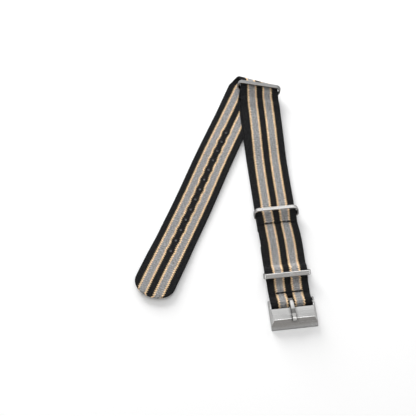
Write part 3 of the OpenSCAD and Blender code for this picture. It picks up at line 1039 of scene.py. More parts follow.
    def yarn_squeeze(self, across: Array, along: Array) -> Array:
        """How much the yarns are pushed aside round the punched holes.

        Args:
            across: places across the leg.
            along: places along it.

        Returns:
            The place of the yarn that lies there, as a share of the place across.
        """
        f = self.form
        first = f.tip_v + f.hole_from_tip
        nearest = np.clip(np.round((along - first) / f.hole_pitch), 0, f.hole_count - 1)
        away = along - first - nearest * f.hole_pitch
        return 1.0 - self.hole_spread * bell(away, self.spread_run[1]) * bell(across, self.spread_run[0])

    def hole_blocks(self, fan: int, cut: Array) -> list[tuple[slice, slice]]:
        """Leaves out the cells round each hole.

        Args:
            fan: the row at which the rows that fit the holes begin.
            cut: the cells that are left out, which gets the holes' cells.

        Returns:
            The rows and columns of the points round each hole.
        """
        cells, left = self.hole_cells, (cut.shape[1] - self.hole_cells) // 2
        blocks = []
        for i in range(self.form.hole_count):
            first = fan + i * self.hole_rows
            cut[first:first + cells, left:left + cells] = True
            blocks.append((slice(first, first + cells + 1), slice(left, left + cells + 1)))
        return blocks

    def add_hole(self, slab: Slab, top: Array, low: Array, rows: slice, cols: slice) -> None:
        """Fills one block of cells with a sealed hole: a melted rim, its wall and the same rim below.

        Args:
            slab: the webbing that gets the hole.
            top: indices of its outer side's points.
            low: indices of its inner side's points.
            rows: rows of the points round the hole.
            cols: columns of them.
        """
        span = self.hole_cells
        loop = [(0, k) for k in range(span)] + [(k, span) for k in range(span)]
        loop += [(span, span - k) for k in range(span)] + [(span - k, 0) for k in range(span)]
        i, j = np.array(loop).T
        mid, uv = slab.mid[rows, cols], slab.weave[rows, cols]
        centre, middle = mid[span // 2, span // 2], uv[span // 2, span // 2]
        spoke, spoke_uv = mid[i, j] - centre, uv[i, j] - middle
        length = np.linalg.norm(spoke, axis=-1, keepdims=True)
        half, bore = self.form.web_t / 2, self.form.hole_d / 2
        profile = [(r, half + rise, melt) for r, rise, melt in self.rim]
        profile += [(r * self.hole_taper, -half - rise, melt) for r, rise, melt in reversed(self.rim)]
        previous = top[rows, cols][i, j]
        for r, height, melt in profile:
            reach = bore * r / self.rim[-1][0] if r < self.rim_wall else min(r, self.rim_reach)
            points = centre + spoke / length * reach + slab.normal[0, 0] * height
            ring = slab.add(points, middle + spoke_uv / length * reach)
            slab.sealed.append((ring, melt))
            self.join(slab, previous, ring)
            previous = ring
        self.join(slab, previous, low[rows, cols][i, j])

    @staticmethod
    def join(slab: Slab, a: Array, b: Array) -> None:
        """Joins two closed loops of points with faces.

        Args:
            slab: the webbing that gets the faces.
            a: indices of the first loop's points.
            b: indices of the second's, in the same order.
        """
        n = len(a)
        for k in range(n):
            m = (k + 1) % n
            slab.faces.append((int(a[k]), int(a[m]), int(b[m]), int(b[k])))

    def build(self) -> None:
        """Makes the three pieces, ties the head leg and the free leg to the frame and fixes the bend where it
        stands.
        """
        slot = "striped_webbing"
        head_nodes = ("strap_buckle_end", "strap_watch_span", "strap_bar_loop", "strap_return_flap")
        place(self.head(), "strap_body", slot, self.finish, head_nodes)
        f = self.form
        start = Vector((0.0, f.ring_y * MM, (f.ring_crest + f.layer) * MM))
        end = Vector((0.0, f.ring_y * MM, f.web_t * MM))
        place(self.bend(), ("strap_body", "free_leg", start, end), slot, self.finish, ("strap_end_fold",))
        place(self.leg(), "free_leg", slot, self.finish, ("strap_tail",))


@dataclass
class ShortStrap:
    """The under-strap, with its end turned over the end ring's lower bar."""

    form: StrapForm
    finish: Material
    step: float = 0.55
    under_groove: float = 0.24
    groove: float = 0.16
    groove_w: float = 0.45
    edge_r: float = 0.65
    columns: int = 31
    fan_rows: int = 31
    turn_steps: int = 18

    def grid(self) -> tuple[Array, Array, Array, Array]:
        """Rows of the under-strap, from its start to the end of the turn round the ring's bar.

        Returns:
            Points of the mid-surface, normals, the outer side's distance for each row, and places
            across and along the webbing.
        """
        f = self.form
        half = f.web_t / 2
        side = f.half_w - self.edge_r
        u = np.linspace(-side, side, self.columns)
        down = np.array([0.0, 0.0, -1.0])
        points, normals, outer = [], [], []
        seams = (-f.keeper_seam, f.keeper_seam)
        for y in seam_rows(f.short_start, f.far_start, self.step, seams):
            z = float(f.short_under(y)) + half
            x = float(f.short_cx(y)) + u
            points.append(np.stack([x, np.full_like(u, y), np.full_like(u, z)], axis=-1))
            normals.append(np.broadcast_to(down, (len(u), 3)))
            outer.append(half - self.under_groove * sum(bell(y - s, self.groove_w) for s in seams))
        low_z = f.tail_lift + half
        last = points[-1][:, :2]
        ring_u = u * f.ring_half / f.half_w
        first = f.ring_to_plan(ring_u, -f.ring_flap)
        for t in np.linspace(0.0, 1.0, self.fan_rows + 1)[1:]:
            plan = last + (first - last) * t
            points.append(np.concatenate([plan, np.full((len(u), 1), low_z)], axis=-1))
            normals.append(np.broadcast_to(down, (len(u), 3)))
            outer.append(half)
        a = math.radians(f.ring_yaw)
        for v, z, (nv, nz), thick in self.loop_rows():
            plan = f.ring_to_plan(ring_u, v)
            points.append(np.concatenate([plan, np.full((len(u), 1), z)], axis=-1))
            normal = np.array([nv * math.sin(a), nv * math.cos(a), nz])
            normals.append(np.broadcast_to(normal, (len(u), 3)))
            outer.append(thick)
        mid, normal = np.stack(points), np.stack(normals)
        step = np.linalg.norm(np.diff(mid[:, len(u) // 2], axis=0), axis=-1)
        run = np.concatenate([[0.0], np.cumsum(step)])
        return mid, normal, np.array(outer), np.stack(np.broadcast_arrays(u[None, :], run[:, None]), axis=-1)

    def loop_rows(self) -> list[tuple[float, float, Pair, float]]:
        """Rows below, round and above the ring's bar.

        Returns:
            Place, height, normal and the outer side's distance of each row.
        """
        f = self.form
        half = f.web_t / 2
        rows = []
        for v in seam_rows(-f.ring_flap, f.ring_slack, self.step, (-f.ring_seam,))[1:]:
            groove = self.under_groove * float(bell(v + f.ring_seam, self.groove_w))
            rows.append((float(v), f.tail_lift + half, (0.0, -1.0), half - groove))
        radius = f.ring_pocket + half
        for a in np.linspace(-math.pi / 2, math.pi / 2, self.turn_steps + 1)[1:]:
            c, s = math.cos(a), math.sin(a)
            rows.append((f.ring_slack + radius * c, f.ring_z + radius * s, (c, s), half))
        for v in seam_rows(f.ring_slack, -f.ring_flap, self.step, (-f.ring_seam,))[1:]:
            slope = f.loop_slope(float(v))
            scale = 1.0 / math.hypot(slope, 1.0)
            groove = self.groove * float(bell(v + f.ring_seam, self.groove_w))
            rows.append((float(v), float(f.loop_under(v)) + half, (-slope * scale, scale), half - groove))
        return rows

    def build(self) -> None:
        """Makes the under-strap and ties it to the frame."""
        mid, normal, outer, weave = self.grid()
        slab = Slab(mid, normal, weave, outer[:, None], self.form.web_t / 2)
        slab.build()
        nodes = ("short_strap", "short_strap_loop")
        place(slab.piece("under_strap"), "strap_body", "striped_webbing", self.finish, nodes)


@dataclass
class Stitching:
    """Rows of two-ply stitches, on top of the webbing and below it.

    Attributes:
        length: length of a stitch, with space to the next.
        strand_r: radius of one ply, ply_r its distance from the thread's middle.
        twist: turns of the plies for each millimetre.
        dive: how deep a stitch's ends go in, with dive_power for how suddenly.
        sink: how deep the top stitches lie in the webbing.
        upper_shift: how far the seam below the upper keeper lies towards it.
        low: height of the lower stitches' middle; they stand proud of the underside by no more than proud.
        edge_gap: distance of a seam's ends from the webbing's edges.
        tack: length of a tack beside the lower keeper, tack_gap from the edge.
        sag: how far a seam sways, with sag_wave for how often.
    """

    form: StrapForm
    finish: Material
    length: float = 2.05
    space: float = 0.2
    strand_r: float = 0.26
    ply_r: float = 0.16
    twist: float = 0.95
    turn_on: float = 1.7
    dive: float = 0.42
    dive_power: int = 5
    sink: float = 0.04
    rings: int = 15
    sides: int = 6
    upper_shift: float = 0.35
    low: float = 0.2
    proud: float = 0.02
    edge_gap: float = 0.8
    tack: float = 2.9
    tack_gap: float = 0.5
    tack_trim: float = 0.3
    sag: float = 0.12
    sag_wave: float = 0.31

    def strand(self, start: Array, way: Array, up: Array, phase: float) -> Array:
        """Rings of points of one ply of one stitch.

        Args:
            start: where the stitch begins.
            way: unit vector along it.
            up: unit vector out of the webbing.
            phase: angle at which the ply begins.

        Returns:
            The points, ring by ring.
        """
        t = np.linspace(-1.0, 1.0, self.rings)
        across = np.cross(up, way)
        reach = (t + 1) / 2 * self.length
        path = start + np.outer(reach, way) - np.outer(self.dive * np.abs(t) ** self.dive_power, up)
        a = 2 * math.pi * self.twist * reach + phase
        path = path + self.ply_r * (np.outer(np.cos(a), up) + np.outer(np.sin(a), across))
        tangent = unit(np.gradient(path, axis=0))
        side = unit(np.cross(tangent, np.broadcast_to(up, path.shape)))
        rise = np.cross(side, tangent)
        b = np.linspace(0.0, 2 * math.pi, self.sides, endpoint=False)
        ring = np.cos(b)[None, :, None] * side[:, None, :] + np.sin(b)[None, :, None] * rise[:, None, :]
        return path[:, None, :] + self.strand_r * ring

    def row(self, course: Course, half: float, up: float, shift: float = 0.0) -> list[Array]:
        """Strands of one row of stitches.

        Args:
            course: the line that the row follows.
            half: half the row's width.
            up: 1 on top, -1 below.
            shift: how far the row is cut short at each end.

        Returns:
            The rings of points of each ply.
        """
        pitch = self.length + self.space
        span = 2 * (half - shift)
        count = max(1, int((span + self.space) // pitch))
        first = -(count * pitch - self.space) / 2
        strands = []
        for i in range(count):
            a = first + i * pitch
            (p, n), (q, _) = course(a), course(a + self.length)
            way = unit(q - p)
            normal = unit(n * up - (n * up @ way) * way)
            for phase in (0.0, math.pi):
                strand = self.strand(p, way, normal, phase + self.turn_on * i)
                if up < 0:
                    strand[..., 2] = np.maximum(strand[..., 2], p[2] - self.low - self.proud)
                strands.append(strand)
        return strands

    def object_of(self, name: str, strands: list[Array]) -> Piece:
        """One mesh of all the strands of a seam.

        Args:
            name: the piece's name.
            strands: the rings of points of each ply.

        Returns:
            The piece.
        """
        faces = []
        for i in range(len(strands)):
            faces += tube_faces(self.rings, self.sides, i * self.rings * self.sides)
        return mesh_object(name, np.concatenate(strands).reshape(-1, 3), faces, sharp=75.0)

    def straight(self, y: float, z: float, middle: float = 0.0) -> Course:
        """The line of a seam that runs across the strap and sways a little.

        Args:
            y: its place along the strap.
            z: its height.
            middle: its middle's place across.

        Returns:
            The line.
        """

        def at(x: float) -> tuple[Array, Array]:
            """Point and normal at x from the middle."""
            bow = self.sag * math.cos(x * self.sag_wave)
            return np.array([x + middle, y + bow - self.sag / 2, z]), np.array([0.0, 0.0, 1.0])

        return at

    def ring_line(self, v: float, z: float, slope: float) -> Course:
        """The line of the seam at the end ring.

        Args:
            v: its distance from the ring's bar.
            z: its height.
            slope: slope of the webbing there.

        Returns:
            The line.
        """
        a = math.radians(self.form.ring_yaw)
        normal = unit(np.array([-slope * math.sin(a), -slope * math.cos(a), 1.0]))

        def at(u: float) -> tuple[Array, Array]:
            """Point and normal at u from the middle."""
            plan = self.form.ring_to_plan(np.array(u), np.array(v))
            return np.array([plan[0], plan[1], z]), normal

        return at

    def build(self) -> None:
        """Makes every seam and the two pairs of tacks."""
        f = self.form
        half, short = f.half_w - self.edge_gap, self.length / 2
        across = {
            "seam_buckle": f.seam_1,
            "seam_upper_keeper": self.upper_shift - f.keeper_seam,
            "seam_short_strap": f.keeper_seam,
        }
        for node, y in across.items():
            top = float(f.main_under(np.array(y))) + f.web_t - self.sink
            strands = self.row(self.straight(y, top), half, 1.0)
            strands += self.row(self.straight(y, self.low), half, -1.0, short)
            self.finish_seam(node, strands)
        y = f.lower_y + f.keeper_seam
        top = float(f.main_under(np.array(y))) + f.web_t + self.strand_r
        strands = []
        for side in Side:
            middle = side.value * (f.half_w - self.tack_gap - self.tack / 2)
            strands += self.row(self.straight(y, top, middle), self.tack / 2 - self.tack_trim, 1.0)
            strands += self.row(self.straight(y, self.low, middle), self.tack / 2 - self.tack_trim, -1.0)
        self.finish_seam("tacks_lower_keeper", strands)
        top = float(f.loop_under(-f.ring_seam)) + f.web_t - self.sink
        strands = self.row(self.ring_line(-f.ring_seam, top, f.loop_slope(-f.ring_seam)), half, 1.0)
        strands += self.row(self.ring_line(-f.ring_seam, f.tail_lift + self.low, 0.0), half, -1.0, short)
        self.finish_seam("seam_end_ring", strands)

    def finish_seam(self, node: str, strands: list[Array]) -> None:
        """Makes one seam's piece in place of its node."""
        place(self.object_of(f"{node}_stitches", strands), "strap_body", "thread", self.finish, (node,))


@dataclass
class Keeper:
    """A flat strip bent to a closed loop that tips about its lower bar.

    Attributes:
        name: the piece's name.
        node: the CAD node that it replaces.
        body: the body that it rides on.
        pivot: the middle of its lower bar.
        lean: how far it leans back at rest, in degrees, and yaw how far it is turned in plan.
        half: half its inner width, and clear its inner height.
        corner_r: outer radius of the lower corners, and top_r of the upper ones.
        edge_r: radius of the strip's own edges, held by extra rows at distance hold.
        wall_shade: share of painted shade on its side walls, which makes them darker than the top bar.
    """

    name: str
    node: str
    body: str
    finish: Material
    pivot: Triple
    lean: float
    yaw: float = 0.0
    strip_w: float = 2.5
    strip_t: float = 0.9
    half: float = 10.75
    clear: float = 4.0
    corner_r: float = 1.7
    top_r: float = 1.7
    edge_r: float = 0.28
    hold: float = 0.05
    wall_shade: float = 0.45
    corner_steps: int = 10
    bar_steps: int = 12
    wall_steps: int = 4
    edge_steps: int = 4

    def centre_line(self) -> tuple[Array, Array]:
        """Closed path of the strip's middle.

        Returns:
            Its points in x and z, and the outward normal at each.
        """
        w = self.half + self.strip_t / 2
        h = (self.clear + self.strip_t) / 2
        low, top = self.corner_r - self.strip_t / 2, self.top_r - self.strip_t / 2
        points, normals = [], []
        corners = [
            (w - top, h - top, 0.0, top), (top - w, h - top, 90.0, top),
            (low - w, low - h, 180.0, low), (w - low, low - h, 270.0, low),
        ]
        for k, (cx, cz, a0, r) in enumerate(corners):
            for i in range(self.corner_steps + 1):
                a = math.radians(a0 + 90.0 * i / self.corner_steps)
                points.append((cx + r * math.cos(a), cz + r * math.sin(a) + h))
                normals.append((math.cos(a), math.sin(a)))
            nx, nz, _, next_r = corners[(k + 1) % 4]
            a = math.radians(a0 + 90.0)
            end = (nx + next_r * math.cos(a), nz + next_r * math.sin(a) + h)
            steps = self.bar_steps if k % 2 == 0 else self.wall_steps
            start = points[-1]
            for i in range(1, steps):
                t = i / steps
                points.append((mix(start[0], end[0], t), mix(start[1], end[1], t)))
                normals.append((math.cos(a), math.sin(a)))
        return np.array(points), np.array(normals)

    def section(self) -> Array:
        """Section of the strip, with rounded edges.

        Returns:
            How far out and how far along the strap each of its points lies.
        """
        a, b, r = self.strip_t / 2, self.strip_w / 2, self.edge_r
        points = []
        for ox, oy, start in ((a, b, 0.0), (-a, b, 90.0), (-a, -b, 180.0), (a, -b, 270.0)):
            cx, cy = ox - math.copysign(r, ox), oy - math.copysign(r, oy)
            turns = [math.radians(start + 90.0 * i / self.edge_steps) for i in range(self.edge_steps + 1)]
            arc = [(cx + r * math.cos(w), cy + r * math.sin(w)) for w in turns]
            before = (self.hold * math.sin(turns[0]), -self.hold * math.cos(turns[0]))
            after = (-self.hold * math.sin(turns[-1]), self.hold * math.cos(turns[-1]))
            points.append((arc[0][0] + before[0], arc[0][1] + before[1]))
            points += arc
            points.append((arc[-1][0] + after[0], arc[-1][1] + after[1]))
        return np.array(points)

    def build(self) -> None:
        """Sweeps the strip's section round the loop, sets it on its hinge line and ties it there."""
        line, normals = self.centre_line()
        section = self.section()
        n, m = len(line), len(section)
        out = line[:, None, :] + normals[:, None, :] * section[None, :, :1]
        y = np.broadcast_to(section[None, :, 1], (n, m))
        verts = np.stack([out[..., 0], y, out[..., 1]], axis=-1).reshape(-1, 3)
        tip = Matrix.Rotation(math.radians(-self.lean), 3, "X")
        turn = Matrix.Rotation(math.radians(-self.yaw), 3, "Z")
        verts = verts @ np.array(turn @ tip).T + np.array(self.pivot)
        piece = mesh_object(self.name, verts, tube_faces(n, m, closed=True), sharp=60.0)
        # painted shade: inner faces are marked fully and side walls by their share, to be drawn darker
        inner = (self.edge_r - self.strip_t / 2 - section[:, 0]) / self.edge_r
        walls = self.wall_shade * normals[:, :1] ** 2
        mark(piece, INSIDE, np.maximum(np.clip(inner, 0.0, 1.0)[None, :], walls).ravel())
        place(piece, self.body, "keeper_steel", self.finish, (self.node,))


def softened_copy(node: str, name: str, width: float, angle: float = 20.0) -> Piece:
    """A new piece with a rigid node's shape and slightly rounded edges.

    Args:
        node: the CAD node whose mesh is copied.
        name: the new piece's name.
        width: width of the rounding in millimetres.
        angle: edges sharper than this are rounded, in degrees.

    Returns:
        The new object, in the scene.
    """
    flat, sharp = 1.0, 35.0
    work = bmesh.new()
    work.from_mesh(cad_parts[node].data)
    bmesh.ops.remove_doubles(work, verts=work.verts, dist=1e-6)
    bmesh.ops.dissolve_limit(work, angle_limit=math.radians(flat), verts=work.verts, edges=work.edges)
    edges = [e for e in work.edges if e.is_manifold and e.calc_face_angle(0.0) > math.radians(angle)]
    bmesh.ops.bevel(
        work, geom=edges, offset=width * MM, offset_type="OFFSET", segments=3, profile=0.5,
        affect="EDGES", clamp_overlap=True,
    )
    return shaded_object(name, work, bpy.data.meshes.new(name), sharp)


@dataclass
class Buckle:
    """Frame and tongue, with their edges broken as on a polished buckle."""

    frame_finish: Material
    tongue_finish: Material
    edge: float = 0.24
    tongue_edge: float = 0.34

    def build(self) -> None:
        """Makes both pieces from the frame's own shapes."""
        body = softened_copy("buckle_frame", "buckle_frame_polished", self.edge)
        place(body, "buckle", "brushed_steel", self.frame_finish, ("buckle_frame",))
        pin = softened_copy("buckle_tongue", "buckle_tongue_polished", self.tongue_edge)
        place(pin, "tongue", "brushed_steel", self.tongue_finish, ("buckle_tongue",))


@dataclass
class SpringBar:
    """Tube and plungers, the frame's own solids, and the coil between them."""

    form: StrapForm
    finish: Material
    wire_r: float = 0.1
    turns: int = 14
    turn_steps: int = 8
    sides: int = 6

    def build(self) -> None:
        """Gives the solids their finish and makes the coil's two halves."""
        for node in ("spring_bar_tube", "plunger_left", "plunger_right"):
            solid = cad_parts[node]
            solid.data.materials.clear()
            solid.data.materials.append(self.finish)
            log.info("%s: dressed as %s", node, self.finish.name)
        for side in Side:
            self.half_coil(side)

    def half_coil(self, side: Side) -> None:
        """Makes the half of the coil that one plunger presses towards the middle.

        Args:
            side: the plunger's side.
        """
        f = self.form
        solid = np.array([v.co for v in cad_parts["plunger_spring"].data.vertices]) / MM
        reach = float(np.abs(solid[:, 0]).max())
        radius = float(np.hypot(solid[:, 1] - f.bar_y, solid[:, 2] - f.bar_z).max()) - self.wire_r
        steps = self.turns * self.turn_steps // 2
        t = np.linspace(0.0, 1.0, steps + 1)[:, None]
        a = math.pi * self.turns * t * side.value
        b = np.linspace(0.0, 2 * math.pi, self.sides, endpoint=False)[None, :]
        r = radius + self.wire_r * np.cos(b)
        x = side.value * (reach - self.wire_r) * t + self.wire_r * np.sin(b)
        verts = np.stack([x, f.bar_y + r * np.cos(a), f.bar_z + r * np.sin(a)], axis=-1).reshape(-1, 3)
        faces = tube_faces(steps + 1, self.sides)
        if side is Side.LEFT:  # a mirror image, so its faces run the other way
            faces = [face[::-1] for face in faces]
        name = side.name.lower()
        spring = mesh_object(f"coil_{name}_half", verts, faces, sharp=75.0)
        start = Vector((side.value * reach * MM, f.bar_y * MM, f.bar_z * MM))
        middle = Vector((0.0, f.bar_y * MM, f.bar_z * MM))
        body = (f"{name}_plunger", "strap_body", start, middle)
        place(spring, body, "plain_steel", self.finish, ("plunger_spring",))


class Wiring:
    """Short way to lay out the nodes of a tree."""

    def __init__(self, tree: bpy.types.NodeTree) -> None:
        """Empties the tree."""
        self.tree = tree
        self.tree.nodes.clear()

    def node(self, kind: str, **settings: object) -> bpy.types.Node:
        """Adds a node.

        Args:
            kind: Blender's name for the kind of node.
            settings: its settings, by name.

        Returns:
            The node.
        """
        made = self.tree.nodes.new(kind)
        for key, value in settings.items():
            setattr(made, key, value)
        return made

    def feed(self, socket: Socket, value: Input) -> None:
        """Links a socket, or sets its value.

        Args:
            socket: the input.
            value: an output to link it to, or the value.
        """
        if isinstance(value, Socket):
            self.tree.links.new(value, socket)
        else:
            socket.default_value = value

    def math(self, operation: str, a: Input, b: Input = 0.0, c: Input = 0.0) -> Socket:
        """One step of arithmetic.

        Args:
            operation: Blender's name for it.
            a: first term.
            b: second term.
            c: third term.

        Returns:
            The result's output.
        """
        made = self.node("ShaderNodeMath", operation=operation)
        for socket, value in zip(made.inputs, (a, b, c)):
            self.feed(socket, value)
        return made.outputs[0]

    def mix(self, share: Input, a: Input, b: Input) -> Socket:
        """A mix of two colours.

        Args:
            share: share of the second.
            a: the first colour.
            b: the second colour.

        Returns:
            The mixed colour's output.
        """
        made = self.node("ShaderNodeMix", data_type="RGBA")
        self.feed(made.inputs["Factor"], share)
        for socket, value in zip([s for s in made.inputs if s.type == "RGBA"], (a, b)):
            self.feed(socket, value)
        return next(s for s in made.outputs if s.type == "RGBA")

    def scale_colour(self, colour: Input, factor: Socket) -> Socket:
        """A colour times a number.

        Args:
            colour: an output, or red, green, blue and alpha.
            factor: the number's output.

        Returns:
            The product's output.
        """
        made = self.node("ShaderNodeVectorMath", operation="SCALE")
        self.feed(made.inputs[0], colour if isinstance(colour, Socket) else colour[:3])
        self.feed(made.inputs["Scale"], factor)
        return made.outputs[0]

    def add_colour(self, colour: Socket, amount: Socket) -> Socket:
        """A colour with the same number added to red, green and blue.

        Args:
            colour: the colour's output.
            amount: the number's output.

        Returns:
            The sum's output.
        """
        made = self.node("ShaderNodeVectorMath", operation="ADD")
        self.feed(made.inputs[0], colour)
        self.feed(made.inputs[1], amount)
        return made.outputs[0]

    def noise(self, vector: Input, scale: float, detail: float = 2.0, rough: float = 0.5) -> Socket:
        """A noise from 0 to 1.

        Args:
            vector: the place at which it is read.
            scale: how many of its lumps fit in one unit.
            detail: how many finer layers it has.
            rough: how strong those are.

        Returns:
            The noise's output.
        """
        made = self.node("ShaderNodeTexNoise")
        self.feed(made.inputs["Vector"], vector)
        made.inputs["Scale"].default_value = scale
        made.inputs["Detail"].default_value = detail
        made.inputs["Roughness"].default_value = rough
        return made.outputs["Fac"]

    def ramp(self, value: Input, stops: list[tuple[float, Colour]]) -> Socket:
        """A colour ramp.

        Args:
            value: the place on it, from 0 to 1.
            stops: places and colours, in order.

        Returns:
            The colour's output.
        """
        made = self.node("ShaderNodeValToRGB")
        self.feed(made.inputs["Fac"], value)
        band = made.color_ramp
        for position, colour in stops[1:-1]:
            band.elements.new(position).color = colour
        for k in (0, -1):
            band.elements[k].position, band.elements[k].color = stops[k]
        return made.outputs["Color"]

    def axes(self, vector: Socket) -> bpy.types.NodeOutputs:
        """The parts of a vector.

        Args:
            vector: its output.

        Returns:
            The outputs X, Y and Z.
        """
        parts = self.node("ShaderNodeSeparateXYZ")
        self.feed(parts.inputs[0], vector)
        return parts.outputs

    def object_place(self, scale: Triple) -> Socket:
        """Place on the piece.

        Args:
            scale: stretch along each axis.

        Returns:
            The place's output.
        """
        where = self.node("ShaderNodeTexCoord")
        mapping = self.node("ShaderNodeMapping")
        self.feed(mapping.inputs["Vector"], where.outputs["Object"])
        mapping.inputs["Scale"].default_value = scale
        return mapping.outputs["Vector"]

    def backdrop(self, colour: Input, strength: Input) -> Socket:
        """Light from all round.

        Args:
            colour: its colour.
            strength: its strength.

        Returns:
            Its output.
        """
        made = self.node("ShaderNodeBackground")
        self.feed(made.inputs["Color"], colour)
        self.feed(made.inputs["Strength"], strength)
        return made.outputs[0]

    def either(self, share: Input, a: Input, b: Input) -> Socket:
        """One shader where share is 0 and another where it is 1.

        Args:
            share: the output that tells them apart.
            a: the first shader.
            b: the second shader.

        Returns:
            The output of the one that holds.
        """
        made = self.node("ShaderNodeMixShader")
        for socket, value in zip(made.inputs, (share, a, b)):
            self.feed(socket, value)
        return made.outputs[0]

    def marked(self, name: str) -> Socket:
        """A number that the mesh holds at each point."""
        return self.node("ShaderNodeAttribute", attribute_name=name).outputs["Fac"]


class Sheet(Wiring):
    """A material with one surface shader."""

    def __init__(self, name: str) -> None:
        """Starts a material.

        Args:
            name: its name.
        """
        self.material = bpy.data.materials.new(name)
        self.material.use_nodes = True
        super().__init__(self.material.node_tree)
        self.shader = self.node("ShaderNodeBsdfPrincipled")
        self.output = self.node("ShaderNodeOutputMaterial")
        self.feed(self.output.inputs["Surface"], self.shader.outputs["BSDF"])

    def set(self, levels: dict[str, float]) -> None:
        """Sets some of the shader's own sockets."""
        for name, level in levels.items():
            self.shader.inputs[name].default_value = level

    def bump(self, height: Input, strength: float, distance: float, edge: float = 0.0) -> None:
        """Drives the shader's normal from a height.

        Args:
            height: the height, from 0 to 1.
            strength: share of the full effect.
            distance: height of a step from 0 to 1, in millimetres.
            edge: radius to which sharp edges are rounded in shading, in millimetres.
        """
        made = self.node("ShaderNodeBump")
        if edge > 0.0:
            worn = self.node("ShaderNodeBevel", samples=8)
            worn.inputs["Radius"].default_value = edge * MM
            self.feed(made.inputs["Normal"], worn.outputs["Normal"])
        made.inputs["Strength"].default_value = strength
        made.inputs["Distance"].default_value = distance * MM
        self.feed(made.inputs["Height"], height)
        self.feed(self.shader.inputs["Normal"], made.outputs["Normal"])


